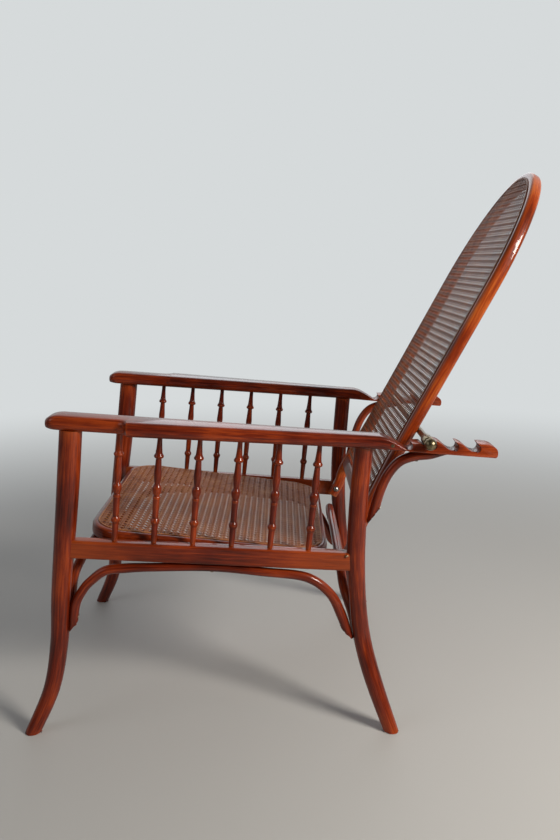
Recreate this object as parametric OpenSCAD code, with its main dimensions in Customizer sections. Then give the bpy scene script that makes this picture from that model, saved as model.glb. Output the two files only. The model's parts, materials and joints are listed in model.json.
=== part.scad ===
// Reclining armchair in bent beech with a caned seat and a caned folding back.
// Millimetres, +Z up, sitter's left is +X, the front faces -Y, the floor is z = 0.
// Lengths along the chair (y) are measured back from the front feet; the
// finished model is shifted so that the middle of its footprint is the origin.

/* [Stance] */
// Distance from the front feet to the rear feet, along the chair
leg_base = 668; // [620:1:700]
// Half the spread of the front feet, across the chair
front_foot_half = 299; // [285:1:312]
// Half the spread of the rear feet, across the chair
rear_foot_half = 292; // [280:1:306]
// Half the distance between the side frames, at the middle of the rails
frame_half = 258; // [245:1:275]
// Outward lean of the side frames, in degrees
frame_lean = 3.15; // [1:0.05:5]
// How far each side frame closes in towards the rear, in degrees
frame_taper = 2.0; // [0.5:0.05:3.5]

/* [Legs] */
// Diameter of a front leg where it meets the arm
front_leg_d = 40; // [34:0.5:44]
// Diameter of a rear leg where it meets the arm
rear_leg_d = 34; // [30:0.5:38]
// Diameter of a leg at the floor
foot_d = 27; // [22:0.5:30]
// Diameter of the tenon on top of a leg
leg_tenon_d = 22; // [16:0.5:24]
// Length of the tenon on top of a leg
leg_tenon_l = 15; // [10:0.5:18]

/* [Arms] */
// Height of the underside of an arm above its front leg
arm_z = 573; // [555:1:590]
// Fall of an arm towards the rear, in degrees
arm_fall = 3.75; // [2:0.05:5]
// Thickness of an arm at the front
arm_t = 27; // [22:0.5:32]
// How far an arm runs ahead of its front leg
arm_overhang = 43.5; // [32:0.5:50]
// Depth of the cove that narrows the front of an arm
arm_cove = 20; // [10:1:24]

/* [Side rails] */
// Height of the middle of a rail at the front leg
rail_front_z = 351; // [340:1:362]
// Height of the middle of a rail at the rear leg
rail_rear_z = 318; // [308:1:328]
// Depth of a rail
rail_h = 35; // [30:0.5:40]
// Thickness of a rail
rail_w = 24; // [20:0.5:28]

/* [Spindles] */
// Number of turned spindles in each side
spindle_count = 6; // [4:1:7]
// Rearward lean of a spindle, in degrees
spindle_rake = 5.5; // [3:0.1:7]
// Thickness factor of the turned profile
spindle_girth = 1; // [0.8:0.05:1.15]

/* [Arches] */
// Diameter of the bent arches under the seat
arch_d = 18; // [14:0.5:20]
// Height of the front ends of the side arches
side_arch_front_z = 186; // [176:1:198]
// Height of the rear ends of the side arches
side_arch_rear_z = 164; // [154:1:177]
// Height of the ends of the arch between the front legs
front_arch_z = 188; // [175:1:200]
// Height of the ends of the arch between the rear legs
rear_arch_z = 161; // [150:1:175]
// Height of the crown of the arch between the rear legs
rear_crown_z = 294; // [284:1:300]

/* [Seat] */
// Height of the top of the seat ring at its front edge
seat_front_z = 381; // [372:1:388]
// Fall of the seat towards the rear, in degrees
seat_fall = 6.56; // [4:0.1:8]
// Thickness of the seat ring
seat_t = 26; // [20:0.5:30]
// Width of the seat ring
seat_rim = 30; // [26:0.5:34]
// Corner radius of the seat ring
seat_corner = 70; // [50:1:90]

/* [Back] */
// Recline of the back from upright, in degrees
back_lean = 27.9; // [24:0.1:30]
// Length of the back from its pivots to the top of the hoop
back_l = 793; // [740:1:840]
// Half the width of the hoop
back_half = 195; // [175:1:205]
// Height of the arched top of the hoop
back_arch = 248; // [200:1:280]
// Width of the bent stick of the hoop
hoop_w = 26; // [22:0.5:30]
// Depth of the bent stick of the hoop
hoop_t = 23; // [20:0.5:26]
// Height of the pivots above the floor
pivot_z = 327; // [320:1:334]
// Diameter of a pivot bolt
pivot_d = 8; // [6:0.5:9]

/* [Support bar and racks] */
// Height of the axis of the bar above the floor
bar_z = 550; // [546:0.5:553]
// Diameter of the bar
bar_d = 12.4; // [9:0.1:14]
// Diameter of the collars that lie in the notches
collar_d = 19; // [17:0.1:20]
// Diameter of the balls on the ends of the bar
ball_d = 22; // [18:0.5:26]
// Distance between notches
notch_pitch = 39; // [37:0.5:42]
// Fall of a rack towards the rear, in degrees
rack_fall = 4.2; // [2:0.1:5]
// Width of a rack
rack_w = 40; // [34:0.5:44]
// Diameter of the bent braces under the racks
brace_d = 18; // [14:0.5:20]
// Height of the foot of a brace on the rear leg
brace_foot_z = 394; // [380:1:410]

/* [Cane] */
// Thickness of the cane panels
cane_t = 2.4; // [1.5:0.1:3.5]
// Spacing of the gaps drawn in the cane panels
cane_pitch = 29; // [26:1:36]
// Width of the strip of seat cane that lies on the ring
seat_cane_lap = 18; // [12:0.5:20]
// Width of the strip of back cane that lies on the hoop
back_cane_lap = 11; // [8:0.5:14]

/* [Screws and dowels] */
// Diameter of a screw head
screw_head_d = 6.5; // [5:0.5:9]
// Diameter of a screw shank
screw_d = 3.6; // [3:0.1:4.5]
// Diameter of the seat dowels
dowel_d = 9; // [6:0.5:11]

/* [Hidden] */
// Clearance round tenons, dowels, screws and turned ends
fit = 0.05;
// Gap between pieces that only lie against each other
rest_gap = 0.3;
// Sides of a round bent stick, and steps between two of its guide points
round_sides = 16;
steps = 4;

WOOD = "#8a2a12";
WOOD_DARK = "#6e1f0e";
CANE = "#a07348";
BRASS = "#8f7a45";
STEEL = "#9a9a96";

// Height of the middle of a rail at distance y
rail_ends = [70, leg_base - 68];
function mix(a, b, t) = a + (b - a) * t;
function rail_z(y) =
    mix(rail_front_z, rail_rear_z, (y - rail_ends[0]) / (rail_ends[1] - rail_ends[0]));
// Half-width of the plane of a side frame at distance y and height z
frame_mid_y = 319;
frame_mid_z = 360;
function side_x(y, z) =
    frame_half + tan(frame_lean) * (z - frame_mid_z) - tan(frame_taper) * (y - frame_mid_y);
// Height of the underside of an arm at distance y
arm_leg_y = 92;
function arm_under(y) = arm_z - tan(arm_fall) * (y - arm_leg_y);

// Smooth curve through guide points, with any number of values per point
function bend(a, b, c, d, t) =
    0.5 * (2 * b + (c - a) * t + (2 * a - 5 * b + 4 * c - d) * t * t
    + (3 * b - a - 3 * c + d) * t * t * t);
function curve(p, n = steps) =
    let (last = len(p) - 1)
    [
        for (i = [0:last - 1], k = [0:n - 1])
            bend(p[max(i - 1, 0)], p[i], p[i + 1], p[min(i + 2, last)], k / n),
        p[last]
    ];
function xyz(p) = [p[0], p[1], p[2]];
function unit(v) = v / norm(v);
function circle_points(n) = [for (i = [0:n - 1]) [cos(360 * i / n), sin(360 * i / n)]];

// Rounded rectangle w wide and h deep, corners in four steps
function soft_box(w, h, r, n = 3) = [
    for (q = [0:3], k = [0:n])
        let (a = 90 * q + 90 * k / n, sx = q == 0 || q == 3 ? 1 : -1, sy = q < 2 ? 1 : -1)
        [sx * (w / 2 - r) + r * cos(a), sy * (h / 2 - r) + r * sin(a)]
];

// Rings of points that carry a flat profile along a path; "up" stays in view
function carried(path, profile, up, sizes = []) =
    let (last = len(path) - 1)
    [
        for (i = [0:last])
            let (
                way = unit(path[min(i + 1, last)] - path[max(i - 1, 0)]),
                across = unit(cross(way, up)),
                over = cross(across, way),
                k = len(sizes) > 0 ? sizes[i] : 1
            )
            [for (p = profile) path[i] + (across * p[0] + over * p[1]) * k]
    ];

// Solid skin over rings of equally many points
module skin(rings) {
    n = len(rings[0]);
    last = len(rings) - 1;
    polyhedron(
        points = [for (r = rings) each r],
        faces = [
            [for (i = [n - 1:-1:0]) i],
            [for (i = [0:n - 1]) last * n + i],
            for (j = [0:last - 1], i = [0:n - 1])
                let (a = j * n + i, b = j * n + (i + 1) % n)
                each [[a, b, a + n], [b, b + n, a + n]]
        ]
    );
}

// Closed skin whose last ring joins its first
module closed_skin(rings) {
    n = len(rings[0]);
    m = len(rings);
    polyhedron(
        points = [for (r = rings) each r],
        faces = [
            for (j = [0:m - 1], i = [0:n - 1])
                let (
                    a = j * n + i,
                    b = j * n + (i + 1) % n,
                    c = (j + 1) % m * n + i,
                    d = (j + 1) % m * n + (i + 1) % n
                )
                each [[a, b, c], [b, d, c]]
        ]
    );
}

// Bent round stick through guide points [x, y, z, radius]
module bent_stick(guide, up) {
    line = curve(guide);
    skin(carried([for (p = line) xyz(p)], circle_points(round_sides), up, [for (p = line) p[3]]));
}

// Turns +Z of its child to point from a to b
module along(a, b) {
    d = b - a;
    translate(a) rotate([0, acos(d[2] / norm(d)), atan2(d[1], d[0])]) children();
}
module rod(a, b, r, sides = 32) {
    along(a, b) cylinder(h = norm(b - a), r = r, $fn = sides);
}
module on_side(s) {
    if (s > 0) children();
    else mirror([1, 0, 0]) children();
}

// Leg guide points: [x, y, z, radius] from above the arm down to below the floor
front_top = arm_z + 12;
front_leg_line = [
    [side_x(93, front_top), 93, front_top, front_leg_d / 2],
    [side_x(77, 442), 77, 442, front_leg_d / 2],
    [side_x(54, 260), 54, 260, front_leg_d / 2 - 2.3],
    [mix(side_x(47, 170), front_foot_half, 0.2), 47, 165, front_leg_d / 2 - 3.4],
    [mix(side_x(33, 80), front_foot_half, 0.65), 33, 80, foot_d / 2 + 1.6],
    [front_foot_half, -2, 0, foot_d / 2],
    [front_foot_half + 3, -8, -14, foot_d / 2]
];
rear_top = arm_under(leg_base - 58) + 12;
rear_leg_line = [
    [side_x(leg_base - 57, rear_top), leg_base - 57, rear_top, rear_leg_d / 2],
    [side_x(leg_base - 65, 437), leg_base - 65, 437, rear_leg_d / 2],
    [side_x(leg_base - 67.5, 330), leg_base - 67.5, 330, rear_leg_d / 2 + 0.3],
    [mix(side_x(leg_base - 62, 235), rear_foot_half, 0.04), leg_base - 62, 235, rear_leg_d / 2 - 1],
    [mix(side_x(leg_base - 52, 160), rear_foot_half, 0.24), leg_base - 52, 160, rear_leg_d / 2 - 0.8],
    [mix(side_x(leg_base - 32, 88), rear_foot_half, 0.62), leg_base - 32, 88, rear_leg_d / 2 - 1.2],
    [rear_foot_half, leg_base, 0, foot_d / 2],
    [rear_foot_half + 5, leg_base + 5, -14, foot_d / 2]
];
front_leg_curve = curve(front_leg_line);
rear_leg_curve = curve(rear_leg_line);
// Point of a leg's centre line at height z, with its radius
function leg_at(line, z) =
    let (i = [for (k = [0:len(line) - 2]) if (line[k][2] >= z && line[k + 1][2] < z) k][0])
    mix(line[i], line[i + 1], (line[i][2] - z) / (line[i][2] - line[i + 1][2]));
function front_at(z) = leg_at(front_leg_curve, z);
function rear_at(z) = leg_at(rear_leg_curve, z);

// Straight cutter that follows a leg between two heights, and its gap to the leg
leg_gap = 0.3;
module leg_space(line, z1, z2, gap) {
    a = leg_at(line, z1);
    b = leg_at(line, z2);
    rod(xyz(a), xyz(b), max(a[3], b[3]) + gap, 48);
}

// Ends of a rail on the leg axes
rail_a = xyz(front_at(rail_front_z));
rail_b = xyz(rear_at(rail_rear_z));
rail_tenon_d = 13;

// Spindle feet and heads, spaced evenly between the legs
spindle_first = 92.2;
spindle_last = 89;
spindle_step = (rail_b[1] - rail_a[1] - spindle_first - spindle_last) / (spindle_count - 1);
function spindle_foot(i) =
    let (y = rail_a[1] + spindle_first + spindle_step * (i - 1))
    [side_x(y, rail_z(y) + rail_h / 2), y, rail_z(y) + rail_h / 2];
function spindle_head(i) =
    let (
        f = spindle_foot(i),
        rise = (arm_under(f[1]) - f[2]) / (1 + tan(spindle_rake) * tan(arm_fall)),
        y = f[1] + rise * tan(spindle_rake)
    )
    [side_x(y, f[2] + rise), y, f[2] + rise];
spindle_tenon_r = 3.6;
spindle_tenon_l = 11;

// Pivot of the back, ahead of the rear leg's axis
pivot_leg = rear_at(pivot_z);
pivot_y = pivot_leg[1] - 7.5;
pivot_pin_face = pivot_leg[0] - pivot_leg[3] + 0.9;
washer_t = 2.5;
washer_d = 20;
pivot_bolt_end = pivot_leg[0] - rail_tenon_d / 2 - 0.6;
head_d = 13;
// Outer face of the hoop at the pivots
hoop_foot_half = pivot_pin_face - washer_t - rest_gap;
// The hoop's stick lies ahead of the pivots by this much
hoop_set = -8.4;
hoop_end = 19;
hoop_round = 7;

// The back's own frame: s up along the back, n to the rear of its plane
function back_point(x, s, n) = [
    x,
    pivot_y + s * sin(back_lean) + n * cos(back_lean),
    pivot_z + s * cos(back_lean) - n * sin(back_lean)
];
back_out = [0, cos(back_lean), -sin(back_lean)];

// The bar lies against the rear face of the hoop
bar_n = hoop_set + hoop_t / 2 + rest_gap * 2 + bar_d / 2;
bar_y = pivot_y + (bar_n + (bar_z - pivot_z) * sin(back_lean)) / cos(back_lean);

// Arm and rack places
arm_tip_y = arm_leg_y - arm_overhang;
arm_corner_y = arm_leg_y + 104;
arm_outer = side_x(arm_corner_y, arm_z) + 43;
rear_arm_x = side_x(leg_base - 58, rear_top);
rack_inner = rear_arm_x - rear_leg_d / 2 - 0.5;
rack_outer = rack_inner + rack_w;
lap_x = mix(rack_inner, rack_outer, 0.58);
// Notch outline in steps back from a tooth tip, for a collar of 19 mm
seat_r = collar_d / 2 + rest_gap;
notch_k = seat_r / 9.8;
tip_from_bar = [seat_r * cos(17.7), seat_r * sin(17.7)];
first_tip = [bar_y, bar_z] + tip_from_bar - notch_pitch * [1, -tan(rack_fall)];
function tip(k) = first_tip + k * notch_pitch * [1, -tan(rack_fall)];
pocket = [-2.6, -8.5] * notch_k;
pocket_r = 7.5 * notch_k;
// Outline of one notch up to tip k: slope, pocket and hooked wall
function notch(k) = [
    tip(k) + [-22.7, -4.6] * notch_k,
    tip(k) + [-13.7, -12.1] * notch_k,
    for (a = [250:22:382]) tip(k) + pocket + pocket_r * [cos(a), sin(a)],
    tip(k) + [3.2, -4.6] * notch_k,
    tip(k)
];
rack_start = tip(0)[0] - 39;
rack_end = tip(3)[0] + 35;
// The first tooth is lower than the others
low_tip = tip(0) - [0, 7.6] * notch_k;
first_pocket = [
    for (p = [[-10.4, -10.2], [-5.4, -11.2], [-1.4, -9.9], [1.5, -6.7], [2, -3.4], [0, 0]])
        low_tip + p * notch_k
];
// Point of the arm's sloping rear end: distance behind the rack's front end, share of the arm's thickness
function shoulder(back, share) =
    let (y = rack_start + back) [y, arm_under(y) + arm_thick(y) * share];
long_slope = [shoulder(6.6, 0.672), shoulder(14.6, 0.49), shoulder(22.6, 0.295)];
function rack_under(y) = arm_under(rack_start + 36) - tan(rack_fall) * (y - rack_start - 36) - 0.4;

// Middle of the footprint, which becomes the origin
foot_slope = (front_at(0)[1] - front_at(-8)[1]) / 8;
foot_front = front_at(0)[1] - foot_d / 2 * norm([1, foot_slope]);
back_rear = pivot_y + (back_l - hoop_round) * sin(back_lean)
    + (hoop_set + hoop_t / 2 - hoop_round) * cos(back_lean) + hoop_round;
mid_y = (foot_front + back_rear) / 2;
module placed() {
    translate([0, -mid_y, 0]) children();
}

// Half-space above the undersides of the arms
module above_arm(gap) {
    translate([0, arm_leg_y, arm_z - gap]) rotate([-arm_fall, 0, 0])
        translate([-500, -500, 0]) cube([1000, 1500, 120]);
}
module below_floor() {
    translate([-500, -200, -60]) cube([1000, 1200, 60]);
}

// Waste below a plane through y and z that climbs rearwards at an angle
module slant(y, z, angle) {
    translate([0, y, z]) rotate([angle, 0, 0]) translate([0, -40, -60]) cube([400, 100, 60]);
}

// Screw with a countersunk head at "a", pointing to "b"
module screw(a, b, gap = 0) {
    rod(a, b, screw_d / 2 + gap);
    along(a, b) cylinder(h = screw_head_d / 3, r1 = screw_head_d / 2 + gap, r2 = screw_d / 2 + gap, $fn = 32);
}

// Arches: guide points [x, y, z, radius] from one leg to the other
arch_r = arch_d / 2;
side_front_end = front_at(side_arch_front_z);
side_rear_end = rear_at(side_arch_rear_z);
function under_rail(y, gap, r = arch_r) =
    let (z = rail_z(y) - rail_h / 2 - r)
    [side_x(y, z), y, z - gap, r];
arch_crown_y = frame_mid_y + 15;
arch_front_face = side_front_end[1] + side_front_end[3] + arch_r;
// Guide point of the front bend: distance behind the end, share of the rise to the rail
function front_bend(back, share, r) =
    let (z = mix(side_arch_front_z, rail_z(arch_front_face) - rail_h / 2, share))
    [side_x(arch_front_face + back, z), arch_front_face + back, z, r];
function rear_bend(ahead, share, r) =
    let (z = mix(side_arch_rear_z, rail_z(leg_base) - rail_h / 2, share))
    [side_x(leg_base - ahead, z), leg_base - ahead, z, r];
side_arch_line = [
    [side_front_end[0], arch_front_face - 1.5, side_arch_front_z, arch_r * 0.9],
    front_bend(4, 0.333, arch_r),
    front_bend(19, 0.533, arch_r - 0.5),
    front_bend(36, 0.667, arch_r - 0.4),
    front_bend(63, 0.8, arch_r),
    under_rail(175, 9.5, arch_r),
    under_rail(225, 6, arch_r - 0.8),
    under_rail(arch_crown_y, 0.4, arch_r - 0.8),
    under_rail(430, 5, arch_r - 0.5),
    under_rail(leg_base - 160, 11),
    rear_bend(116, 0.68, arch_r),
    rear_bend(94, 0.361, arch_r + 0.6),
    [side_rear_end[0], side_rear_end[1] - side_rear_end[3] - arch_r + 1, side_arch_rear_z, arch_r * 0.9]
];
// Ends of the cross arches on the inner corners of the legs
front_arch_end = front_at(front_arch_z);
rear_arch_end = rear_at(rear_arch_z);
corner = (front_arch_end[3] + arch_r) * 0.7;
rear_corner = (rear_arch_end[3] + arch_r) * [0.93, 0.38];
seat_under_front = seat_front_z - tan(seat_fall) * 2 - seat_t / cos(seat_fall);
front_crown_z = seat_under_front - arch_r - 1.2;
function front_rise(share) = mix(front_arch_z, front_crown_z, share);
front_arch_half = [
    [front_arch_end[0] - corner, front_arch_end[1] + corner, front_arch_z, arch_r * 0.9],
    [front_arch_end[0] - corner - 5, front_arch_end[1] + corner, front_rise(0.3), arch_r],
    [frame_half - 19, 73, front_rise(0.605), arch_r],
    [frame_half - 37, 84, front_rise(0.79), arch_r],
    [frame_half - 65, 98, front_rise(0.917), arch_r],
    [frame_half - 108, 106, front_crown_z - 1, arch_r]
];
rear_arch_leg = rear_at(rear_crown_z - 4);
rear_arch_y = rear_arch_leg[1] - rear_arch_leg[3] - arch_r - 0.5;
function rear_rise(share) = mix(rear_arch_z, rear_crown_z, share);
rear_arch_bend = rear_at(rear_rise(0.34));
rear_arch_half = [
    [rear_arch_end[0] - rear_corner[0], rear_arch_end[1] - rear_corner[1], rear_arch_z, arch_r * 0.9],
    [rear_arch_bend[0] - rear_corner[0] - 2, rear_arch_bend[1] - rear_corner[1] - 3, rear_rise(0.34), arch_r],
    [frame_half - 40, rear_arch_y + 6, rear_rise(0.68), arch_r],
    [frame_half - 68, rear_arch_y + 1, rear_rise(0.917), arch_r],
    [frame_half - 108, rear_arch_y, rear_crown_z - 2, arch_r]
];
function across_x(p) = [-p[0], p[1], p[2], p[3]];
function whole_arch(half, crown) =
    let (n = len(half) - 1)
    concat(half, [crown], [for (i = [n:-1:0]) across_x(half[i])]);
front_arch_line = whole_arch(front_arch_half, [0, 107, front_crown_z, arch_r]);
rear_arch_line = whole_arch(rear_arch_half, [0, rear_arch_y, rear_crown_z, arch_r]);

// Brace: from the rear leg out and up to the rack
brace_r = brace_d / 2;
brace_foot = rear_at(brace_foot_z);
brace_foot_y = brace_foot[1] + brace_foot[3] + brace_r - 1.5;
rack_mid_x = mix(rack_inner, rack_outer, 0.5);
// Guide point at distance "back" behind the rear foot and "share" of the rise to the rack
function brace_point(back, share, side, r) =
    let (y = leg_base + back)
    [mix(brace_foot[0], rack_mid_x, side), y, mix(brace_foot_z, rack_under(y), share), r];
brace_line = [
    [brace_foot[0], brace_foot_y, brace_foot_z, brace_r * 0.85],
    [brace_foot[0], brace_foot_y + 6, brace_foot_z + 24, brace_r],
    brace_point(-26.5, 0.43, 0.35, brace_r),
    brace_point(-13.5, 0.656, 0.7, brace_r),
    brace_point(6, 0.832, 0.95, brace_r),
    brace_point(32, 0.918, 1, brace_r),
    brace_point(60, 0.953, 1, brace_r * 0.95),
    brace_point(80, 0.977, 1, brace_r * 0.55),
    brace_point(96, 0.997, 1, brace_r * 0.22)
];

// Screw places: [from, to] on the left side, points in the room
// Outer face of a stick at height z, from points of its curve that climb
function outer_face(line, z, way) = lookup(z, [for (p = line) [p[2], p[1] + way * p[3]]]);
side_arch_curve = curve(side_arch_line);
side_arch_front_part = [for (k = [0:2 * steps]) side_arch_curve[k]];
side_arch_rear_part = let (n = len(side_arch_curve) - 1) [for (k = [0:2 * steps]) side_arch_curve[n - k]];
side_arch_screw_front = let (z = side_arch_front_z + 27, p = front_at(z))
    [[p[0], outer_face(side_arch_front_part, z, 1) + 0.2, z], [p[0], p[1] + 3, z]];
side_arch_screw_rear = let (z = side_arch_rear_z + 27, p = rear_at(z))
    [[p[0], outer_face(side_arch_rear_part, z, -1) - 0.2, z], [p[0], p[1] - 3, z]];
side_arch_screw_crown = let (y = arch_crown_y, z = rail_z(y), d = arch_d - 1.6)
    [[side_x(y, z), y, z - rail_h / 2 - d - 0.6], [side_x(y, z), y, z]];
front_arch_screw = let (z = front_arch_z + 18, p = front_at(z), q = corner + arch_r * 0.75 + 2.5)
    [[p[0] - q, p[1] + q, z], [p[0], p[1], z]];
rear_arch_screw =
    let (z = rear_arch_z + 21, p = rear_at(z), q = rear_corner * (1 + (arch_r + 0.6) / norm(rear_corner)))
    [[p[0] - q[0] - 0.7, p[1] - q[1] - 1, z], [p[0], p[1], z]];
rail_screw = let (y = rail_b[1] - 21, z = rail_z(y) + rail_h / 2 - 5, x = side_x(y, z) + rail_w / 2)
    [[x + 0.6, y, z], [x - 9, y + 20, z]];
seat_arch_screw = [[100, 107, seat_under_front - arch_d - 1], [100, 107, seat_under_front + 14]];
brace_curve = curve(brace_line);
brace_screw_leg = let (z = brace_foot_z + 28, p = rear_at(z))
    [[p[0], outer_face([for (k = [0:2 * steps]) brace_curve[k]], z, 1) + 0.2, z], [p[0], p[1] + 3, z]];
brace_screw_y = leg_base + 36;
brace_screw_rack = let (z = rack_under(brace_screw_y))
    [[rack_mid_x, brace_screw_y, z - brace_d - 2.3], [rack_mid_x, brace_screw_y, z + 13]];
lap_screw = let (y = rack_start + 5, z = arm_under(y) + 8.5)
    [[arm_outer_at(y) + 0.4, y, z], [rack_inner + 5, y, z]];

// Round bar along the pivots' axis, from x1 to x2
module pivot_rod(x1, x2, r) {
    rod([x1, pivot_y, pivot_z], [x2, pivot_y, pivot_z], r, 48);
}

// Leg with its arm tenon, rail mortise and screw holes
module leg_blank(line, up) {
    difference() {
        bent_stick(line, up);
        below_floor();
        above_arm(fit);
    }
}
module arm_tenon(p, grow = 0) {
    translate([p[0], p[1], arm_under(p[1]) - 6])
        cylinder(h = leg_tenon_l + 6 + grow, d = leg_tenon_d + 2 * grow, $fn = 48);
}
front_seat = front_at(arm_z - 1);
rear_seat = rear_at(arm_under(leg_base - 58) - 1);
rail_way = unit(rail_b - rail_a);
module rail_tenons(grow = 0) {
    rod(rail_a + rail_way * 6, rail_a + rail_way * 40, rail_tenon_d / 2 + grow, 48);
    rod(rail_b - rail_way * 40, rail_b - rail_way * 5.5, rail_tenon_d / 2 + grow, 48);
}

module front_leg(s) {
    color(WOOD) placed() on_side(s) {
        difference() {
            union() {
                leg_blank(front_leg_line, [0, 1, 0]);
                arm_tenon(front_seat);
            }
            rail_tenons(fit);
            screw(side_arch_screw_front[0], side_arch_screw_front[1], fit);
            screw(front_arch_screw[0], front_arch_screw[1], fit);
        }
    }
}
module rear_leg(s) {
    color(WOOD) placed() on_side(s) {
        difference() {
            union() {
                leg_blank(rear_leg_line, [0, 1, 0]);
                arm_tenon(rear_seat);
            }
            rail_tenons(fit);
            screw(side_arch_screw_rear[0], side_arch_screw_rear[1], fit);
            screw(rear_arch_screw[0], rear_arch_screw[1], fit);
            screw(brace_screw_leg[0], brace_screw_leg[1], fit);
            screw(rail_screw[0], rail_screw[1], fit);
            pivot_rod(pivot_pin_face - 40, pivot_bolt_end + fit, pivot_d / 2 + fit);
            pivot_rod(pivot_pin_face - 40, pivot_pin_face, washer_d / 2 + 1);
        }
    }
}

module side_rail(s) {
    color(WOOD) placed() on_side(s) {
        difference() {
            union() {
                difference() {
                    along(rail_a, rail_b) rotate([0, 0, frame_lean])
                        linear_extrude(height = norm(rail_b - rail_a))
                            polygon(soft_box(rail_h, rail_w, 3, 2));
                    leg_space(front_leg_curve, rail_front_z + 22, rail_front_z - 24, leg_gap);
                    leg_space(rear_leg_curve, rail_rear_z + 22, rail_rear_z - 24, leg_gap);
                }
                rail_tenons();
            }
            for (i = [1:spindle_count]) spindle_tenon(i, -1, fit);
            for (i = [1:3]) seat_dowel(i, fit);
            screw(side_arch_screw_crown[0], side_arch_screw_crown[1], fit);
            screw(rail_screw[0], rail_screw[1], fit);
        }
    }
}

// Turned profile: [share of the length from the foot, radius]
turning = [
    [0, 4.8], [0.15, 5.7], [0.174, 5.8], [0.19, 7.6], [0.207, 8.5], [0.222, 7.6], [0.236, 5.8],
    [0.25, 5.7], [0.373, 6.1], [0.415, 6.2], [0.425, 6.6], [0.434, 6.6], [0.448, 5.7],
    [0.47, 7.4], [0.504, 8.4], [0.53, 7.2], [0.545, 5.3], [0.569, 5.7], [0.624, 6.9],
    [0.66, 6.8], [0.698, 6.1], [0.77, 5.2], [0.781, 5.2], [0.793, 8.2], [0.804, 9], [0.82, 7.4],
    [0.836, 6.1], [0.881, 5.2], [0.949, 4.4], [1, 4.4]
];
module spindle_tenon(i, end, grow = 0) {
    a = spindle_foot(i);
    b = spindle_head(i);
    from = end < 0 ? a : b;
    dir = unit(b - a) * end;
    rod(from - dir * 3, from + dir * (spindle_tenon_l + grow), spindle_tenon_r + grow);
}
module spindle(s, i) {
    a = spindle_foot(i);
    b = spindle_head(i);
    l = norm(b - a) - 1.4;
    color(WOOD) placed() on_side(s) {
        translate(unit(b - a) * 0.7) along(a, b)
            rotate_extrude($fn = 40)
                polygon(concat([[0, 0]], [for (p = turning) [p[1] * spindle_girth, p[0] * l]], [[0, l]]));
        spindle_tenon(i, -1);
        spindle_tenon(i, 1);
    }
}

// Outer and inner edges of an arm in plan, at distance y
function arm_outer_at(y) =
    let (
        corner_y = arm_corner_y,
        straight = arm_outer - 0.079 * (y - corner_y),
        t = (y - corner_y + 22) / 22
    )
    y >= corner_y ? straight
    : t <= 0 ? arm_outer - arm_cove
    : arm_outer - arm_cove * sqrt(1 - t * t);
function arm_inner_at(y) = lookup(y, [
    [arm_leg_y, side_x(arm_leg_y, arm_z) - 33.5],
    [arm_corner_y, side_x(arm_corner_y, arm_z) - 30.5],
    [arm_corner_y + 60, side_x(arm_corner_y + 60, arm_z) - 29],
    [arm_corner_y + 250, side_x(arm_corner_y + 250, arm_z) - 24],
    [leg_base - 75, rack_inner],
    [leg_base + 40, rack_inner]
]);
function arm_thick(y) = arm_t - 3 * (y - arm_tip_y) / 600;
// Rounded cross-section of an arm between two edges and two heights
function arm_ring(y, x1, x2, z1, z2, r) =
    [for (p = soft_box(x2 - x1, z2 - z1, min(r, (x2 - x1) / 2 - 0.1, (z2 - z1) / 2 - 0.1), 3))
        [(x1 + x2) / 2 + p[0], y, (z1 + z2) / 2 + p[1]]];
// Nose: share of the full section at distance d behind the tip
function nose(d, l) = d >= l ? 1 : sqrt(1 - pow(1 - d / l, 2));
arm_tail_y = tip(0)[0] - 6.5;
function arm_full_ring(y) =
    let (
        w = nose(y - arm_tip_y + 0.8, 16),
        h = nose(y - arm_tip_y + 2.5, 26),
        x1 = arm_inner_at(y),
        x2 = arm_outer_at(y),
        z1 = arm_under(y),
        z2 = z1 + arm_thick(y)
    )
    arm_ring(
        y,
        x1 + (1 - w) * 13, x2 - (1 - w) * 13,
        z1 + (1 - h) * 3.5, z2 - (1 - h) * 18,
        y > rack_start - 40 ? mix(9.5, 3, (y - rack_start + 40) / (arm_tail_y - rack_start + 40)) : 9.5
    );
arm_stations = concat(
    [for (d = [0, 2, 5, 10, 17, 26, 45, 75]) arm_tip_y + d],
    [for (d = [22, 16, 11, 7, 4, 2, 0.6, 0]) arm_corner_y - d],
    [for (k = [1:9]) mix(arm_corner_y, arm_tail_y, k / 9)]
);
// Everything above the arm's sloping rear end
module notch_space(x1, x2) {
    crest = [shoulder(-19, 1.03), shoulder(-11.4, 0.96), shoulder(-5.4, 0.893), shoulder(0, 0.8)];
    end = shoulder(arm_tail_y - rack_start + 3, 0);
    clear_above = [[end[0] + 20, end[1]], [end[0] + 20, end[1] + 60], [rack_start - 19, end[1] + 60]];
    translate([x1, 0, 0]) rotate([90, 0, 90]) linear_extrude(height = x2 - x1)
        polygon(concat(crest, long_slope, [end], clear_above));
}
module arm(s) {
    color(WOOD) placed() on_side(s) {
        difference() {
            skin([for (y = arm_stations) arm_full_ring(y)]);
            notch_space(rack_inner - 20, rack_outer + 20);
            translate([rack_inner - 30, rack_start - fit, arm_z - 120])
                cube([lap_x - rack_inner + 30 + fit, 100, 200]);
            arm_tenon(front_seat, fit);
            arm_tenon(rear_seat, fit);
            for (i = [1:spindle_count]) spindle_tenon(i, 1, fit);
            screw(lap_screw[0], lap_screw[1], fit);
        }
    }
}

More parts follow.
